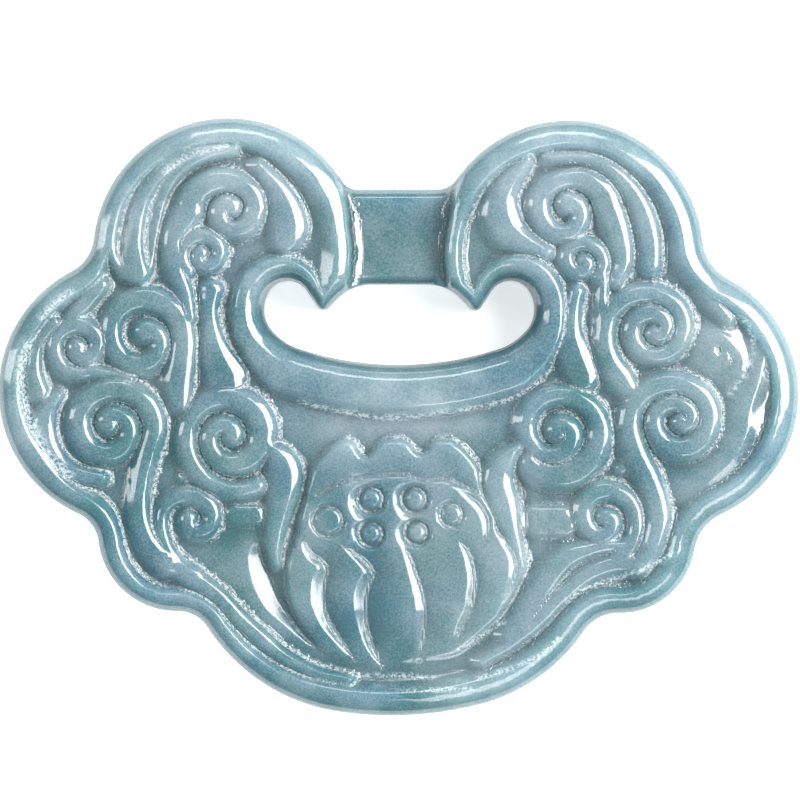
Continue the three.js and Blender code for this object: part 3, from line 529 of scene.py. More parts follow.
# How strongly the patterns, the painted shade in the hollows, the white frost that is partly a painted
# highlight, and the cuts show in the jade
CLOUD_SHARE = 0.22
PATCH_SHARE = 0.25
PAINTED_SHADE_SHARE = 0.7
FROST_HIGHLIGHT_SHARE = 0.7
HOLLOW_CURVATURE = (0.6, 4.0)
HOLLOW_ROUGHNESS = 0.12
SATIN_ROUGHNESS = 0.16
WAVE_HEIGHT = 0.5
SPARKLE_HEIGHT = 3.0
BUMP_DISTANCE = 0.00003

# Uniform values of the jade; the light goes 5 mm into it
JADE = {
    "IOR": 1.66,
    "Specular IOR Level": 0.9,
    "Subsurface Weight": 1.0,
    "Subsurface Radius": (0.7, 1.0, 1.0),
    "Subsurface Scale": 0.005,
}

# White table and surroundings, m
TABLE_HALF = 3.0
TABLE = {
    "Base Color": (0.95, 0.95, 0.95, 1),
    "Roughness": 0.9,
    "Emission Color": (1, 1, 1, 1),
    "Emission Strength": 0.6,
}
SURROUND_COLOUR = (0.93, 0.97, 1, 1)

# Softboxes: size and place, m
SOFTBOXES = {
    "key": ((0.4, 0.37), (0.335, 0.12, 0.37)),
    "fill": ((0.12, 0.5), (-0.5, 0.1, 0.12)),
    "low": ((0.34, 0.14), (0.17, -0.3, 0.36)),
    "top": ((0.3, 0.1), (0, 0.42, 0.34)),
}
LIT_POINT = (0, 0, 0.005)

# Camera straight above the pendant, m, with its lens and sensor, mm
CAMERA_PLACE = (0.00005, 0.001065, 0.4222)
CAMERA_LENS = 300
CAMERA_SENSOR = 36
CAMERA_CLIP = (0.01, 10)


def on_circle(circle, bearing):
    angle = math.radians(bearing)
    return circle.x + circle.radius * math.cos(angle), circle.y + circle.radius * math.sin(angle)


def bearing_of(start, end):
    return math.degrees(math.atan2(end[1] - start[1], end[0] - start[0]))


def meeting(a, to_a, b, to_b):
    """The point at the distances to_a from a and to_b from b, left of the way from a to b."""
    span = math.hypot(b[0] - a[0], b[1] - a[1])
    along = (span**2 + to_a**2 - to_b**2) / (2 * span)
    aside = math.sqrt(to_a**2 - along**2)
    ux, uy = (b[0] - a[0]) / span, (b[1] - a[1]) / span
    return a[0] + ux * along - uy * aside, a[1] + uy * along + ux * aside


class Arc:
    """Part of a circle from one bearing to another; way 1 runs counterclockwise."""

    def __init__(self, circle, start, end, way=1):
        self.circle = circle
        self.start = start
        self.way = way
        self.sweep = ((end - start) * way) % 360
        self.length = math.radians(self.sweep) * circle.radius

    def at(self, share):
        return on_circle(self.circle, self.start + self.way * self.sweep * share)

    def mirrored(self):
        circle = Circle(-self.circle.x, self.circle.y, self.circle.radius)
        end = self.start + self.way * self.sweep
        return Arc(circle, 180 - end, 180 - self.start, self.way)

    def nearest(self, x, y):
        dx, dy = x - self.circle.x, y - self.circle.y
        turned = ((np.degrees(np.arctan2(dy, dx)) - self.start) * self.way) % 360
        beyond = turned > self.sweep
        turned = np.where(beyond, np.where(turned > self.sweep / 2 + 180, 0, self.sweep), turned)
        bearing = np.radians(self.start + self.way * turned)
        px = self.circle.x + self.circle.radius * np.cos(bearing)
        py = self.circle.y + self.circle.radius * np.sin(bearing)
        return np.hypot(x - px, y - py), np.radians(turned) * self.circle.radius


class Segment:
    """Straight piece of an outline."""

    def __init__(self, start, end):
        self.start = start
        self.end = end
        self.length = math.hypot(end[0] - start[0], end[1] - start[1])

    def at(self, share):
        return tuple(a + (b - a) * share for a, b in zip(self.start, self.end))

    def mirrored(self):
        return Segment((-self.end[0], self.end[1]), (-self.start[0], self.start[1]))

    def nearest(self, x, y):
        ux, uy = ((b - a) / self.length for a, b in zip(self.start, self.end))
        along = np.clip((x - self.start[0]) * ux + (y - self.start[1]) * uy, 0, self.length)
        return np.hypot(x - self.start[0] - along * ux, y - self.start[1] - along * uy), along


def chained(pieces):
    """The pieces with straight segments across the gaps between them."""
    chain = [pieces[0]]
    for piece in pieces[1:]:
        end, start = chain[-1].at(1), piece.at(0)
        if math.hypot(start[0] - end[0], start[1] - end[1]) > LEAST_GAP:
            chain.append(Segment(end, start))
        chain.append(piece)
    return chain


def lobe_chain(start, end):
    """Outer contour, counterclockwise from a bearing on the left shoulder to one on the right."""
    middle_center = meeting(
        LEFT_BOTTOM[:2], MIDDLE_BOTTOM_RADIUS - LEFT_BOTTOM.radius,
        RIGHT_BOTTOM[:2], MIDDLE_BOTTOM_RADIUS - RIGHT_BOTTOM.radius,
    )
    middle = Circle(*middle_center, MIDDLE_BOTTOM_RADIUS)
    lobes = (LEFT_SHOULDER, LEFT_SIDE, LEFT_FOOT, LEFT_BOTTOM, middle,
             RIGHT_BOTTOM, RIGHT_FOOT, RIGHT_SIDE, RIGHT_SHOULDER)
    radii = (*LEFT_NOTCH_RADII, 0, 0, *RIGHT_NOTCH_RADII)
    pieces = []
    for lobe, after, radius in zip(lobes, lobes[1:], radii):
        if radius == 0:
            join = bearing_of(middle[:2], (after if lobe is middle else lobe)[:2])
            pieces.append(Arc(lobe, start, join))
            start = join
            continue
        center = meeting(after[:2], after.radius + radius, lobe[:2], lobe.radius + radius)
        notch = Circle(*center, radius)
        pieces.append(Arc(lobe, start, bearing_of(lobe[:2], center)))
        pieces.append(Arc(notch, bearing_of(center, lobe[:2]), bearing_of(center, after[:2]), -1))
        start = bearing_of(after[:2], center)
    pieces.append(Arc(RIGHT_SHOULDER, start, end))
    return pieces


def hook_fillet():
    """Circle that rounds the corner between the bar's underside and the right hook's flank."""
    normal = math.radians(90 - HOOK_SLOPE)
    reach = HOOK_FILLET_RADIUS + HOOK_TIP.radius
    y = BAR_BOTTOM - HOOK_FILLET_RADIUS
    along = (y - HOOK_TIP.y + reach * math.sin(normal)) / math.cos(normal)
    return Circle(HOOK_TIP.x - reach * math.cos(normal) - along * math.sin(normal), y, HOOK_FILLET_RADIUS)


def opening_half(fillet, start):
    """Right half of the opening's edge, from a bearing on the fillet to the middle of its floor."""
    flank = 90 - HOOK_SLOPE
    span = math.hypot(OPENING_TOP.x - HOOK_TIP.x, OPENING_TOP.y - HOOK_TIP.y)
    lean = math.degrees(math.acos((OPENING_TOP.radius + HOOK_TIP.radius) / span))
    tangent = bearing_of(OPENING_TOP[:2], HOOK_TIP[:2]) - lean
    top_to_end = bearing_of(OPENING_END[:2], OPENING_TOP[:2])
    end_to_low = bearing_of(OPENING_LOW[:2], OPENING_END[:2])
    low_to_floor = bearing_of(OPENING_FLOOR[:2], OPENING_LOW[:2])
    return chained([
        Arc(fillet, start, flank, -1),
        Arc(HOOK_TIP, flank + 180, tangent + 180),
        Arc(OPENING_TOP, tangent, top_to_end, -1),
        Arc(OPENING_END, top_to_end, end_to_low, -1),
        Arc(OPENING_LOW, end_to_low, low_to_floor, -1),
        Arc(OPENING_FLOOR, low_to_floor, -90, -1),
    ])


def mirrored(pieces):
    return [piece.mirrored() for piece in reversed(pieces)]


class Outline:
    """The edges of the pendant, seen from the front."""

    def __init__(self):
        fillet = hook_fillet()
        radius = fillet.radius
        right_crossing = meeting(fillet[:2], radius, RIGHT_SHOULDER[:2], RIGHT_SHOULDER.radius)
        left_crossing = meeting(LEFT_SHOULDER[:2], LEFT_SHOULDER.radius, (-fillet.x, fillet.y), radius)
        left, right = (self.top_fillet(*corner) for corner in zip(
            (LEFT_SHOULDER, RIGHT_SHOULDER), BAR_TOP_FILLETS, (-1, 1)))
        left_top = bearing_of(LEFT_SHOULDER[:2], left[:2])
        right_top = bearing_of(RIGHT_SHOULDER[:2], right[:2])
        left_cross_at = bearing_of(fillet[:2], (-left_crossing[0], left_crossing[1]))
        right_cross_at = bearing_of(fillet[:2], right_crossing)

        self.rim = lobe_chain(left_top, right_top)
        self.lip = opening_half(fillet, right_cross_at) + mirrored(opening_half(fillet, left_cross_at))
        self.bar_top = chained([
            Arc(right, bearing_of(right[:2], RIGHT_SHOULDER[:2]), -90, -1),
            Arc(left, -90, bearing_of(left[:2], LEFT_SHOULDER[:2]), -1),
        ])
        self.bar_bottom = chained([
            Arc(fillet, 90, left_cross_at, -1).mirrored(),
            Arc(fillet, 90, right_cross_at, -1),
        ])
        self.facing_bar = [
            Arc(LEFT_SHOULDER, bearing_of(LEFT_SHOULDER[:2], left_crossing), left_top),
            Arc(RIGHT_SHOULDER, right_top, bearing_of(RIGHT_SHOULDER[:2], right_crossing)),
        ]
        self.border = self.facing_bar[:1] + self.rim + self.facing_bar[1:]
        self.outer = self.rim + self.bar_top
        self.opening = self.bar_bottom + self.lip

    @staticmethod
    def top_fillet(shoulder, radius, side):
        y = BAR_TOP + radius
        across = math.sqrt((shoulder.radius + radius) ** 2 - (y - shoulder.y) ** 2)
        return Circle(shoulder.x - side * across, y, radius)


def sampled(pieces):
    """Points along a closed chain of pieces, evenly spaced on each piece."""
    points = []
    for piece in pieces:
        count = max(1, round(piece.length / LOOP_STEP))
        points += [piece.at(i / count) for i in range(count)]
    return np.array(points)


def nearest(pieces, x, y):
    """Distance from each point to a chain of pieces, and how far along the chain that is."""
    best = np.full(x.shape, np.inf)
    along = np.zeros(x.shape)
    done = 0.0
    for piece in pieces:
        distance, reach = piece.nearest(x, y)
        closer = distance < best
        best = np.where(closer, distance, best)
        along = np.where(closer, done + reach, along)
        done += piece.length
    return best, along


def along_chain(pieces, circle, bearing):
    """How far along a chain the point nearest to a bearing on one of its circles lies."""
    x, y = (np.array([value]) for value in on_circle(circle, bearing))
    return nearest(pieces, x, y)[1][0]


def inset(points, distance):
    """Counterclockwise loop moved to its left by a distance."""
    ahead, behind = np.roll(points, -1, axis=0), np.roll(points, 1, axis=0)
    direction = ahead - behind
    direction /= np.linalg.norm(direction, axis=1, keepdims=True)
    return points + np.column_stack((-direction[:, 1], direction[:, 0])) * distance


def smooth_curve(points, steps):
    """Smooth curve through points with any number of values, in equal steps per span."""
    points = np.array(points, float)
    last = len(points) - 1
    share = (np.arange(steps) / steps)[:, None]
    curve = []
    for i in range(last):
        a, b, c, d = (points[min(max(k, 0), last)] for k in (i - 1, i, i + 1, i + 2))
        curve.append(0.5 * (2 * b + (c - a) * share + (2 * a - 5 * b + 4 * c - d) * share**2
                            + (3 * b - a - 3 * c + d) * share**3))
    curve.append(points[-1:])
    return np.vstack(curve)


def line_pieces(points):
    """Straight segments through points."""
    return [Segment(tuple(a), tuple(b)) for a, b in zip(points, points[1:])]


def scroll_line(scroll):
    """Line of a scroll, as x, y and half width: its stem, then the spiral."""
    values = smooth_curve(list(zip(scroll.radii, scroll.half)), QUARTER_STEPS)
    bearings = np.radians(scroll.start + scroll.turn * 90 * np.arange(len(values)) / QUARTER_STEPS)
    spiral = np.column_stack((
        scroll.center[0] + values[:, 0] * np.cos(bearings),
        scroll.center[1] + values[:, 0] * np.sin(bearings),
        values[:, 1],
    ))
    if not scroll.stem:
        return spiral
    way_in = spiral[QUARTER_STEPS // 2]
    run = smooth_curve([*scroll.stem, spiral[0], way_in], STEM_STEPS)
    return np.vstack((run[:-(STEM_STEPS + 1)], spiral))


def fade(values, start, end):
    """0 up to the start, 1 from the end on, and even between them; the end may be the lower one."""
    return np.clip((values - start) / (end - start), 0, 1)


def rounded_ramp(share, radius):
    """0 up to -radius, the share itself beyond +radius, and a smooth bend between."""
    bend = np.clip(share + radius, 0, 2 * radius)
    return bend**2 / (4 * radius) + np.maximum(share - radius, 0)


def smooth_max(a, b, reach):
    overlap = np.maximum(reach - np.abs(a - b), 0) / reach
    return np.maximum(a, b) + overlap**2 * reach / 4


def smooth_min(a, b, reach):
    return -smooth_max(-a, -b, reach)


def profile(stations, distance):
    """Height at a distance, from stations of distance and height."""
    return np.interp(distance, *zip(*stations))


def facing_steep(distance):
    """1 where a form's edge faces the steep way, and -1 where it faces away from it."""
    up, across = np.gradient(distance)
    size = np.maximum(np.hypot(across, up), TINY)
    return (across * STEEP_WAY[0] + up * STEEP_WAY[1]) / size


def slanted(distance, run):
    """Run of a flank, short where it faces the steep way and long where it faces away from it."""
    return run * (1 + SLANT * ((1 - facing_steep(distance)) / 2) ** SLANT_POWER)


def chamfered(distance, width):
    """Depth of the chamfer along the edge of a form, where the edge faces the steep way."""
    width = width * np.clip(CHAMFER_ONSET * facing_steep(distance), 0, 1)
    return CHAMFER_SLOPE * rounded_ramp(width + np.minimum(distance, 0), CHAMFER_BEND)


def nearest_on_line(x, y, line, widened):
    """Distance to a line of points with values, the values there, and the side, above zero on the left.

    A widened line is a band, and the first value is its half width.
    """
    best = np.full(x.shape, np.inf)
    side = np.zeros(x.shape)
    values = [np.zeros(x.shape) for _ in line[0, 2:]]
    for start, end in zip(line, line[1:]):
        way = end - start
        dx, dy = x - start[0], y - start[1]
        share = np.clip((dx * way[0] + dy * way[1]) / max(way[0] ** 2 + way[1] ** 2, TINY), 0, 1)
        distance = np.hypot(dx - share * way[0], dy - share * way[1])
        here = [value + change * share for value, change in zip(start[2:], way[2:])]
        if widened:
            distance = distance - here[0]
        closer = distance < best
        best = np.where(closer, distance, best)
        side = np.where(closer, way[0] * dy - way[1] * dx, side)
        values = [np.where(closer, new, old) for new, old in zip(here, values)]
    return best, values, side


def ridge_height(x, y, line, height, run):
    """Height of a ridge along a line, as a cross-section that falls off on both sides."""
    distance, (half,), _ = nearest_on_line(x, y, line, widened=True)
    half = np.maximum(half, LEAST_HALF)
    crown = DOME * (1 - (1 - np.clip(-distance / half, 0, 1)) ** 2)
    top = height - chamfered(distance, CHAMFER_SHARE * half) + crown
    return FLOOR + top - height * rounded_ramp(distance / slanted(distance, run), EDGE_BEND)


def cut_depth(x, y, line, ramp):
    """Depth of a cut along a line, below zero: a steep side on the right, then a ramp to the left."""
    distance, (steep, depth), side = nearest_on_line(x, y, line, widened=False)
    share = distance / steep
    wall = rounded_ramp(share - CUT_FOOT_BEND, CUT_FOOT_BEND) - rounded_ramp(share - 1, CUT_TOP_BEND)
    fall = 1 - wall / (1 - CUT_FOOT_BEND)
    rise = np.clip(1 - distance / ramp, 0, 1) ** CUT_RAMP_POWER
    return -np.maximum(depth, 0) * np.clip(np.where(side >= 0, rise, fall), 0, 1)


class Relief:
    """Height of the carved face above the back, on a grid, in mm."""

    def __init__(self, outline):
        self.outline = outline
        self.x0, self.y0 = (-half for half in GRID_HALF)
        self.columns, self.rows = (round(2 * half / GRID) + 1 for half in GRID_HALF)
        across = self.x0 + GRID * np.arange(self.columns)
        up = self.y0 + GRID * np.arange(self.rows)
        self.x, self.y = np.meshgrid(across, up)
        self.to_edge = np.minimum(*(
            nearest(chain, self.x, self.y)[0] for chain in (outline.outer, outline.opening)))
        self.dug = self.cuts()
        self.carved = self.carving()
        self.height = self.edged(self.x, self.y, self.carved)
        self.bend, self.hollow = self.bends()

    def carving(self):
        """Height of the carving with its borders, without the rounded edges and the bar."""
        carved = smooth_max(self.strokes(), self.rim_band(), BLEND)
        return smooth_max(carved, self.lip_band(), BLEND)

    def edged(self, x, y, carved):
        """Height of the face at any points, from the carving's height there."""
        outline = self.outline
        to_rim, _ = nearest(outline.rim, x, y)
        to_lip, _ = nearest(outline.lip, x, y)
        edge = np.minimum(profile(OUTER_EDGE, to_rim), profile(LIP_EDGE, to_lip))
        to_bar_side, side_at = nearest(outline.facing_bar, x, y)
        from_top = np.abs(side_at - outline.facing_bar[0].length)
        to_bar_side = to_bar_side + SHELF * fade(from_top, SHELF_FADE, 0)
        edge = smooth_min(edge, profile(BAR_FACING_EDGE, to_bar_side), BAR_SIDE_BLEND)
        plate = smooth_min(carved, edge, EDGE_BLEND)
        to_bar_edge = np.minimum(nearest(outline.bar_top, x, y)[0], nearest(outline.bar_bottom, x, y)[0])
        half, low, high = BAR_ZONE
        on_bar = (np.abs(x) < half) & (y > low) & (y < high)
        for shoulder in (LEFT_SHOULDER, RIGHT_SHOULDER):
            on_bar &= np.hypot(x - shoulder.x, y - shoulder.y) >= shoulder.radius
        return np.minimum(np.where(on_bar, profile(BAR_EDGE, to_bar_edge), plate), CREST)

    def rim_band(self):
        """Raised rim, whose inner edge and foot lie at distances that vary along it."""
        chain = self.outline.border
        distance, along = nearest(chain, self.x, self.y)
        places = [along_chain(chain, lobe, at) for lobe, at, _, _ in RIM_STATIONS]
        edge, foot = (np.interp(along, places, [station[i] for station in RIM_STATIONS]) for i in (2, 3))
        share = (distance - edge) / slanted(distance, foot - edge)
        top = CREST - chamfered(distance - edge, RIM_CHAMFER)
        return top - (CREST - FLOOR) * rounded_ramp(share, RIM_BEND)

    def lip_band(self):
        """Raised band along the opening, with the same stations on both halves."""
        chain = self.outline.lip
        distance, along = nearest(chain, self.x, self.y)
        whole = sum(piece.length for piece in chain)
        stations = sorted(
            (along_chain(chain, circle, at), edge, foot) for circle, at, edge, foot in LIP_STATIONS)
        stations += [(whole - at, edge, foot) for at, edge, foot in stations[-2::-1]]
        places, edges, feet = zip(*stations)
        edge = np.interp(along, places, edges)
        share = (distance - edge) / (np.interp(along, places, feet) - edge)
        return FLOOR + (CREST - FLOOR) * (1 - rounded_ramp(share, EDGE_BEND))

    def strokes(self):
        """Height of the lotus, scrolls, bands, cuts, beads and seeds on the floor."""
        height = smooth_max(np.full(self.x.shape, float(FLOOR)), self.lotus_base(), BLEND)
        ridges = [(scroll_line(scroll), scroll.height, scroll.run) for scroll in SCROLLS.values()]
        ridges += [(smooth_curve(band.line, CURVE_STEPS), band.height, band.run) for band in BANDS.values()]
        for line, rise, run in ridges:
            window = self.window(line, line[:, 2].max() + RIDGE_REACH * run)
            ridge = ridge_height(self.x[window], self.y[window], line, rise, run)
            height[window] = smooth_max(height[window], ridge, BLEND)
        height = height + self.dug
        for (x, y), radius, rise in DOTS:
            share = (np.hypot(self.x - x, self.y - y) - radius) / DOT_RUN
            dot = FLOOR + rise * (1 - rounded_ramp(share, EDGE_BEND))
            height = smooth_max(height, dot, DOT_BLEND)
        for (x, y), bead, socket, depth in SEEDS:
            off = np.hypot(self.x - x, self.y - y)
            wall = rounded_ramp((off - socket) / SEED_WALL + 1, EDGE_BEND)
            top = 1 - rounded_ramp((off - bead) / SEED_WALL + BEAD_INSET, BEAD_BEND)
            height = height - depth * np.clip(1 - np.maximum(wall, top), 0, 1)
        return height

    def lotus_base(self):
        """Raised ground of the lotus, which sinks towards the petals' tips."""
        edge = smooth_curve([*LOTUS_EDGE, LOTUS_EDGE[0]], LOTUS_STEPS)
        outside, _ = nearest(line_pieces(edge), self.x, self.y)
        grid = np.column_stack((self.x.ravel(), self.y.ravel()))
        within = inside(grid, edge[:-1]).reshape(self.x.shape)
        outside = np.where(within, -outside, outside)
        rise = LOTUS_RISE * profile(LOTUS_FADE, self.y)
        return FLOOR + rise * (1 - rounded_ramp(outside / LOTUS_RUN + 1, LOTUS_BEND))

    def cuts(self):
        """How far the cuts lower the face, at most zero."""
        lowered = np.zeros(self.x.shape)
        for cut in CUTS.values():
            line = smooth_curve(cut.line, CURVE_STEPS)
            window = self.window(line, max(cut.ramp, CUT_REACH * line[:, 2].max()) + CUT_MARGIN)
            dug = cut_depth(self.x[window], self.y[window], line, cut.ramp)
            lowered[window] = smooth_min(lowered[window], dug, CUT_BLEND)
        return lowered

    def window(self, line, reach):
        """The part of the grid within reach of a line."""
        low, high = line[:, :2].min(axis=0) - reach, line[:, :2].max(axis=0) + reach
        left, bottom = ((low - (self.x0, self.y0)) / GRID).astype(int).clip(0)
        right, top = ((high - (self.x0, self.y0)) / GRID).astype(int) + 2
        return slice(bottom, top), slice(left, right)

    def bends(self):
        """How strongly the face bends, and how hollow it is, at each grid point."""
        z = self.height
        up, down = np.roll(z, -1, axis=0), np.roll(z, 1, axis=0)
        left, right = np.roll(z, 1, axis=1), np.roll(z, -1, axis=1)
        across = (left + right - 2 * z) / GRID**2
        along = (up + down - 2 * z) / GRID**2
        return np.abs(across) + np.abs(along), across + along

    def sample(self, values, points):
        """Values of a grid at points between its nodes."""
        column = (points[:, 0] - self.x0) / GRID
        row = (points[:, 1] - self.y0) / GRID
        c, r = column.astype(int), row.astype(int)
        u, v = column - c, row - r
        low = values[r, c] * (1 - u) + values[r, c + 1] * u
        high = values[r + 1, c] * (1 - u) + values[r + 1, c + 1] * u
        return low * (1 - v) + high * v

    def cavity(self):
        """Painted shade: 1 deep in the carving and at the plate's edge, and 0 on the open tops."""
        around = box_smooth(box_smooth(self.height, PAINTED_SHADE_REACH), PAINTED_SHADE_REACH)
        sunk = fade(around - self.height, *PAINTED_SHADE_DEPTH)
        return np.maximum(sunk, EDGE_SHADE_SHARE * fade(self.to_edge, *EDGE_SHADE))

    def paleness(self):
        """Share of pale stone, with the lighter and darker patches in it."""
        pale = np.full(self.x.shape, PALENESS)
        for x, y, reach, amount in PALE_AND_DARK_PATCHES:
            pale += amount * np.exp(-((self.x - x) ** 2 + (self.y - y) ** 2) / reach**2)
        return pale

    def whitened(self):
        """1 where the stone is painted white: at the foot of the steps, mostly those that face the light,
        as a painted highlight, and along the tool's marks, partly frost and partly painted highlight.
        """
        up, across = np.gradient(box_smooth(self.height, 1), GRID)
        downhill = -(across * STEEP_WAY[0] + up * STEEP_WAY[1])
        downhill = np.maximum(downhill, SIDEWAYS_FOOT * np.hypot(across, up))
        frost_highlight = fade(box_smooth(self.hollow, 1), *FOOT_CURVATURE) * fade(downhill, *FOOT_SLOPE)
        for half, line in TOOL_MARKS:
            off, _ = nearest(line_pieces(smooth_curve(line, MARK_STEPS)), self.x, self.y)
            frost_highlight = np.maximum(frost_highlight, MARK_STRENGTH * fade(off / half, *MARK_WIDTH))
        to_bar_side, _ = nearest(self.outline.facing_bar, self.x, self.y)
        return frost_highlight * fade(np.minimum(self.to_edge, to_bar_side - BAR_SIDE_PLAIN), *UNMARKED_EDGE)

    def surface(self):
        """What varies over the stone: values on the grid, and the value of the walls and back."""
        hollow = box_smooth(self.hollow, 1) * fade(self.to_edge, *SMOOTH_EDGE)
        return {
            "hollow": (hollow, 0),
            # Painted shade: darker colour deep in the carving and near the plate's edge, and some on the
            # walls and back
            "cavity": (self.cavity(), WALL_PAINTED_SHADE),
            "satin": (fade(self.dug, *SATIN_DEPTH), 0),
            "paleness": (self.paleness(), PALENESS),
            # White at the foot of the steps facing the light, a painted highlight, and along the tool
            # marks, partly frost and partly painted highlight
            "foot": (self.whitened(), 0),
        }


def inside(points, loop):
    """Whether each point lies inside a closed loop."""
    result = np.zeros(len(points), bool)
    x, y = points.T
    for (x0, y0), (x1, y1) in zip(loop, np.roll(loop, -1, axis=0)):
        if y0 == y1:
            continue
        crosses = (y0 > y) != (y1 > y)
        result ^= crosses & (x < (x1 - x0) * (y - y0) / (y1 - y0) + x0)
    return result


def triangulated(outer, hole, *more):
    """Points, and the triangles over them inside the outer loop and outside the hole."""
    points = np.vstack((outer, hole, *more))
    edges = []
    for first, size in ((0, len(outer)), (len(outer), len(hole))):
        edges += [(first + i, first + (i + 1) % size) for i in range(size)]
    flat = [Vector(point) for point in points.tolist()]
    corners, _, faces, _, _, _ = delaunay_2d_cdt(flat, edges, [], 1, MERGE_DISTANCE, True)
    corners = np.array([tuple(corner) for corner in corners])
    count = len(edges)
    if not np.allclose(corners[:count], points[:count], atol=EDGE_TOLERANCE):
        raise ValueError("the triangles lost points of an edge")
    faces = np.array([face for face in faces if len(face) == 3])
    middle = corners[faces].mean(axis=1)
    return corners, faces[inside(middle, outer) & ~inside(middle, hole)]


def box_smooth(values, reach):
    """Values averaged over a square of grid points."""
    for axis in (0, 1):
        shifted = (np.roll(values, shift, axis=axis) for shift in range(-reach, reach + 1))
        values = sum(shifted) / (2 * reach + 1)
    return values


def carved_face(relief, outer, hole):
    """Points and triangles of the face: its edges, rings along them, and a grid that is finer at bends."""
    rings = [inset(loop, distance) for loop in (outer, hole) for distance in EDGE_RINGS]
    row, column = np.mgrid[0:relief.rows, 0:relief.columns]
    second, fourth = ((row % step == 0) & (column % step == 0) for step in (2, 4))
    bend = box_smooth(relief.bend, 1)
    chosen = (bend > FINE_CURVATURE) | (second & (bend > MEDIUM_CURVATURE)) | fourth
    chosen &= relief.to_edge > EDGE_RINGS[-1] + RING_GAP
    grid = np.column_stack((relief.x[chosen], relief.y[chosen]))
    grid = grid[inside(grid, outer) & ~inside(grid, hole)]
    flat, faces = triangulated(outer, hole, *rings, grid)
    heights = relief.edged(*flat.T, relief.sample(relief.carved, flat))
    return np.column_stack((flat, heights)), faces


def walls(loops, count):
    """Walls below the face's edges, as points from number count on, triangles and the lowest rings."""
    points, triangles, lowest = [], [], []
    first = 0
    for loop in loops:
        size = len(loop)
        above = np.arange(first, first + size)
        first += size
        for height, distance in WALL_RINGS:
            points.append(np.column_stack((inset(loop, distance), np.full(size, height))))
            below = np.arange(count, count + size)
            after_above, after_below = np.roll(above, -1), np.roll(below, -1)
            triangles.append(np.column_stack((below, after_below, above)))
            triangles.append(np.column_stack((after_below, after_above, above)))
            above = below
            count += size
        lowest.append(above)
    return points, triangles, lowest


def carved_mesh(name):
    """The whole pendant as one closed mesh, in metres."""
    outline = Outline()
    relief = Relief(outline)
    loops = [sampled(outline.outer), sampled(outline.opening)]
    face, face_triangles = carved_face(relief, *loops)
    wall_points, wall_triangles, lowest = walls(loops, len(face))
    vertices = np.vstack((face, *wall_points))
    flat, back = triangulated(*(vertices[ring][:, :2] for ring in lowest))
    if len(flat) != sum(len(ring) for ring in lowest):
        raise ValueError("the back's triangles don't use its edge points")
    back = np.concatenate(lowest)[back][:, ::-1]
    triangles = np.vstack((face_triangles, *wall_triangles, back))

    mesh = bpy.data.meshes.new(name)
    mesh.from_pydata((vertices * MM).tolist(), [], triangles.tolist())
    mesh.validate()
    smooth = np.ones(len(mesh.polygons), bool)
    smooth[len(triangles) - len(back):] = False
    mesh.polygons.foreach_set("use_smooth", smooth)
    for label, (values, elsewhere) in relief.surface().items():
        attribute = mesh.attributes.new(label, "FLOAT", "POINT")
        data = np.full(len(vertices), elsewhere, np.float32)
        data[:len(face)] = relief.sample(values, face)
        attribute.data.foreach_set("value", data)
    mesh.update()
    return mesh


class Node:
    """A shader socket whose arithmetic makes Math nodes."""

    def __init__(self, tree, socket):
        self.tree = tree
        self.socket = socket

    def math(self, operation, other, swap=False, clamp=False):
        node = self.tree.nodes.new("ShaderNodeMath")
        node.operation = operation
        node.use_clamp = clamp
        for value, socket in zip((other, self) if swap else (self, other), node.inputs):
            feed(self.tree, socket, value)
        return Node(self.tree, node.outputs[0])

    def __add__(self, other):
        return self.math("ADD", other)

    __radd__ = __add__

    def __sub__(self, other):
        return self.math("SUBTRACT", other)

    def __rsub__(self, other):
        return self.math("SUBTRACT", other, swap=True)

    def __mul__(self, other):
        return self.math("MULTIPLY", other)

    __rmul__ = __mul__

    def clamped(self):
        return self.math("ADD", 0.0, clamp=True)


def feed(tree, socket, value):
    """Links a node's output to a socket, or sets the socket to a plain value."""
    if isinstance(value, Node):
        tree.links.new(value.socket, socket)
    else:
        socket.default_value = value


class Finish:
    """A node material under construction."""

    def __init__(self, name):
        self.material = bpy.data.materials.new(name)
        self.material.use_nodes = True
        self.tree = self.material.node_tree
        self.surface = self.tree.nodes["Principled BSDF"]

    def node(self, kind, settings=None, inputs=None, output=0):
        """Adds a node of a type, with its settings first and then its inputs."""
        node = self.tree.nodes.new(kind)
        for key, value in (settings or {}).items():
            setattr(node, key, value)
        for key, value in (inputs or {}).items():
            feed(self.tree, node.inputs[key], value)
        return Node(self.tree, node.outputs[output])

    def attribute(self, name):
        return self.node("ShaderNodeAttribute", {"attribute_name": name}, output=2)

    def noise(self, place, noise):
        return self.node("ShaderNodeTexNoise", inputs={
            "Vector": place, "Scale": noise.scale, "Detail": noise.detail, "Roughness": noise.roughness})

    def ramp(self, value, low, high):
        return self.node("ShaderNodeMapRange", {"clamp": True, "interpolation_type": "SMOOTHSTEP"}, {
            "Value": value, "From Min": low, "From Max": high})

    def mix(self, share, a, b):
        """Colour a where the share is 0, and b where it is 1."""
        return self.node("ShaderNodeMix", {"data_type": "RGBA"}, {0: share, 6: a, 7: b}, output=2)

    def set(self, values):
        """Sets or feeds sockets of the surface."""
        for key, value in values.items():
            feed(self.tree, self.surface.inputs[key], value)


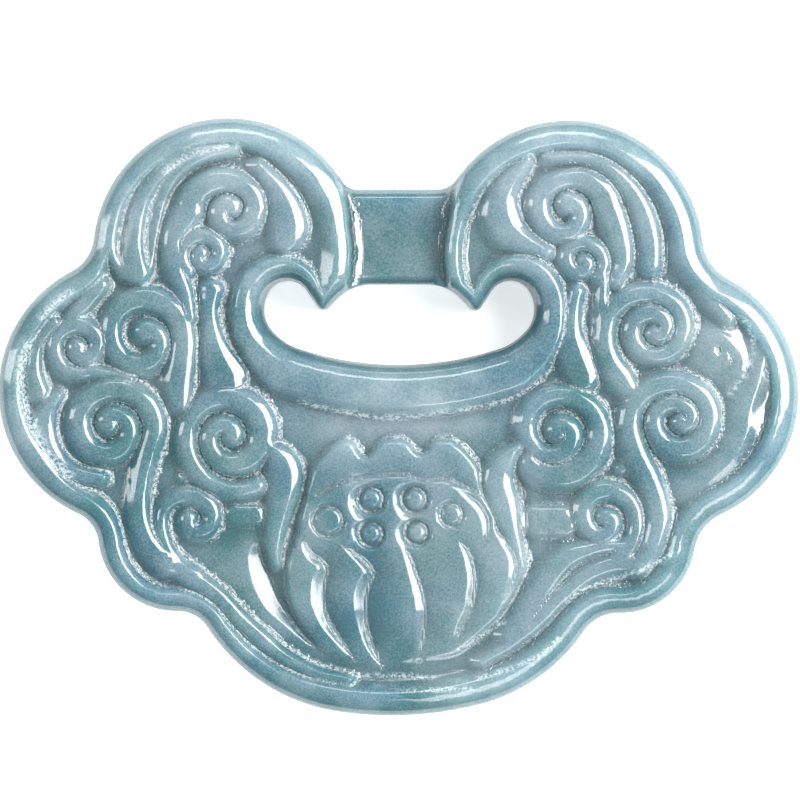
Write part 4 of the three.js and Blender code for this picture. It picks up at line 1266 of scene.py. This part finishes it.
def jade_finish(settings):
    """Polished translucent jade, with satin cuts, painted shade in the hollows and at the plate's edge, and
    white frost at the feet and along the tool marks that is partly a painted highlight.
    """
    finish = Finish("polished_jade")
    place = finish.node("ShaderNodeTexCoord", output=3)
    hollow = finish.ramp(finish.attribute("hollow"), *HOLLOW_CURVATURE)
    satin = finish.attribute("satin")
    cloud = finish.ramp(finish.noise(place, CLOUD_NOISE), *CLOUD_RANGE)
    patch = finish.ramp(finish.noise(place, PATCH_NOISE), *PATCH_RANGE)
    grain = finish.noise(place, GRAIN_NOISE) - 0.5
    pale = finish.attribute("paleness") + (cloud - 0.5) * CLOUD_SHARE + (patch - 0.5) * PATCH_SHARE + grain
    tint = finish.ramp(finish.noise(place, TINT_NOISE), *TINT_RANGE)
    # White frost: a painted highlight at the feet that face the light, and partly one along the tool marks
    frost_highlight = finish.attribute("foot") * finish.ramp(finish.noise(place, FROST_NOISE), *FROST_RANGE)
    colour = finish.mix(tint, tuple(settings.jade_colour), tuple(settings.teal_colour))
    colour = finish.mix(pale.clamped(), colour, tuple(settings.pale_colour))
    # Painted shade: the colour turns to the shade colour deep in the carving and near the plate's edge
    colour = finish.mix(finish.attribute("cavity") * PAINTED_SHADE_SHARE, colour, tuple(settings.painted_shade_colour))
    colour = finish.mix((frost_highlight * FROST_HIGHLIGHT_SHARE).clamped(), colour, tuple(settings.frost_highlight_colour))
    waves = finish.noise(place, WAVE_NOISE) * WAVE_HEIGHT
    sparkle = finish.noise(place, SPARKLE_NOISE) * hollow * hollow * SPARKLE_HEIGHT
    bump = finish.node("ShaderNodeBump", {}, {
        "Strength": 1.0, "Distance": BUMP_DISTANCE, "Height": waves + sparkle})
    finish.set(JADE)
    finish.set({
        "Base Color": colour,
        "Roughness": settings.polish + hollow * HOLLOW_ROUGHNESS + satin * SATIN_ROUGHNESS,
        "Normal": bump,
    })
    return finish.material


class JadePendantSettings(bpy.types.PropertyGroup):
    """Colours and lighting of the pendant."""

    jade_colour: bpy.props.FloatVectorProperty(
        name="Jade", description="Main colour of the jade", subtype="COLOR", size=4,
        min=0, max=1, default=(0.045, 0.157, 0.205, 1))
    pale_colour: bpy.props.FloatVectorProperty(
        name="Pale clouds", description="Colour of the pale clouds in the jade", subtype="COLOR", size=4,
        min=0, max=1, default=(0.385, 0.467, 0.513, 1))
    teal_colour: bpy.props.FloatVectorProperty(
        name="Teal patches", description="Colour of the greener patches", subtype="COLOR", size=4,
        min=0, max=1, default=(0.05, 0.168, 0.178, 1))
    # Painted shade, deep in the carving and near the plate's edge
    painted_shade_colour: bpy.props.FloatVectorProperty(
        name="Painted shade", description="Colour in the depth of the carving", subtype="COLOR", size=4,
        min=0, max=1, default=(0.02, 0.10, 0.115, 1))
    # White frost, partly a painted highlight
    frost_highlight_colour: bpy.props.FloatVectorProperty(
        name="Frost and painted highlight", description="Colour of the frosted tool marks at the foot of the steps",
        subtype="COLOR", size=4, min=0, max=1, default=(0.85, 0.92, 0.94, 1))
    polish: bpy.props.FloatProperty(
        name="Polish", description="Roughness of the polished tops", subtype="FACTOR",
        min=0.02, max=0.6, default=0.1)
    key_power: bpy.props.FloatProperty(
        name="Softbox", description="Power of the softbox", unit="POWER", min=0, default=4.0)
    fill_power: bpy.props.FloatProperty(
        name="Fill", description="Power of the fill light", unit="POWER", min=0, default=0.7)
    low_power: bpy.props.FloatProperty(
        name="Low softbox", description="Power of the softbox below right", unit="POWER",
        min=0, default=0.45)
    top_power: bpy.props.FloatProperty(
        name="Top softbox", description="Power of the softbox beyond the top", unit="POWER",
        min=0, default=0.35)
    surround: bpy.props.FloatProperty(
        name="Surround", description="Brightness of the white surroundings", min=0, default=0.4)


class JADE_PENDANT_OT_carve(bpy.types.Operator):
    """Carve the pendant from one piece of jade"""

    bl_idname = "jade_pendant.carve"
    bl_label = "Carve Pendant"

    def execute(self, context):
        mesh = carved_mesh("jade_lotus_lock")
        if len(mesh.polygons) > TRIANGLE_LIMIT:
            raise ValueError("the pendant has too many triangles")
        pendant = bpy.data.objects.new("jade_lotus_lock", mesh)
        context.scene.collection.objects.link(pendant)
        mesh.materials.append(jade_finish(context.scene.jade_pendant))
        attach(pendant, "root")
        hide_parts("jade_lock_plate")
        return {"FINISHED"}


def white_table():
    """The table that the pendant lies on."""
    mesh = bpy.data.meshes.new("white_table")
    corners = [(x * TABLE_HALF, y * TABLE_HALF, 0) for x, y in ((-1, -1), (1, -1), (1, 1), (-1, 1))]
    mesh.from_pydata(corners, [], [(0, 1, 2, 3)])
    finish = Finish("white_table")
    finish.set(TABLE)
    mesh.materials.append(finish.material)
    return bpy.data.objects.new("white_table", mesh)


def softbox(name, power, size, position):
    """Rectangular area light that faces the pendant."""
    light = bpy.data.lights.new(name, "AREA")
    light.shape = "RECTANGLE"
    light.size, light.size_y = size
    light.energy = power
    lamp = bpy.data.objects.new(name, light)
    lamp.location = position
    lamp.rotation_euler = (Vector(LIT_POINT) - Vector(position)).to_track_quat("-Z", "Y").to_euler()
    return lamp


def camera_above():
    camera = bpy.data.cameras.new("camera")
    camera.lens = CAMERA_LENS
    camera.sensor_width = CAMERA_SENSOR
    camera.clip_start, camera.clip_end = CAMERA_CLIP
    eye = bpy.data.objects.new("camera", camera)
    eye.location = CAMERA_PLACE
    return eye


class JADE_PENDANT_OT_set_stage(bpy.types.Operator):
    """Lay the pendant on a white table and light it with softboxes"""

    bl_idname = "jade_pendant.set_stage"
    bl_label = "Set Stage"

    def execute(self, context):
        settings = context.scene.jade_pendant
        scene = context.scene
        table = white_table()
        scene.collection.objects.link(table)

        world = bpy.data.worlds.new("white_studio")
        world.use_nodes = True
        background = world.node_tree.nodes["Background"]
        background.inputs["Color"].default_value = SURROUND_COLOUR
        background.inputs["Strength"].default_value = settings.surround
        scene.world = world
        for name, (size, position) in SOFTBOXES.items():
            lamp = softbox(f"{name}_softbox", getattr(settings, f"{name}_power"), size, position)
            scene.collection.objects.link(lamp)

        eye = camera_above()
        scene.collection.objects.link(eye)
        bpy.context.scene.camera = eye
        scene.view_settings.view_transform = "Standard"
        return {"FINISHED"}


class JADE_PENDANT_PT_panel(bpy.types.Panel):
    """Controls of the pendant in the sidebar"""

    bl_label = "Jade Pendant"
    bl_idname = "JADE_PENDANT_PT_panel"
    bl_space_type = "VIEW_3D"
    bl_region_type = "UI"
    bl_category = "Jade Pendant"

    def draw(self, context):
        settings = context.scene.jade_pendant
        column = self.layout.column()
        for name in settings.bl_rna.properties.keys():
            if name not in {"rna_type", "name"}:
                column.prop(settings, name)
        for operator in OPERATORS:
            column.operator(operator.bl_idname)


OPERATORS = (JADE_PENDANT_OT_carve, JADE_PENDANT_OT_set_stage)
CLASSES = (JadePendantSettings, *OPERATORS, JADE_PENDANT_PT_panel)


def register():
    for cls in CLASSES:
        bpy.utils.register_class(cls)
    bpy.types.Scene.jade_pendant = bpy.props.PointerProperty(type=JadePendantSettings)


def unregister():
    del bpy.types.Scene.jade_pendant
    for cls in reversed(CLASSES):
        bpy.utils.unregister_class(cls)


def main():
    register()
    bpy.ops.jade_pendant.carve()
    bpy.ops.jade_pendant.set_stage()


if __name__ == "__main__":
    main()
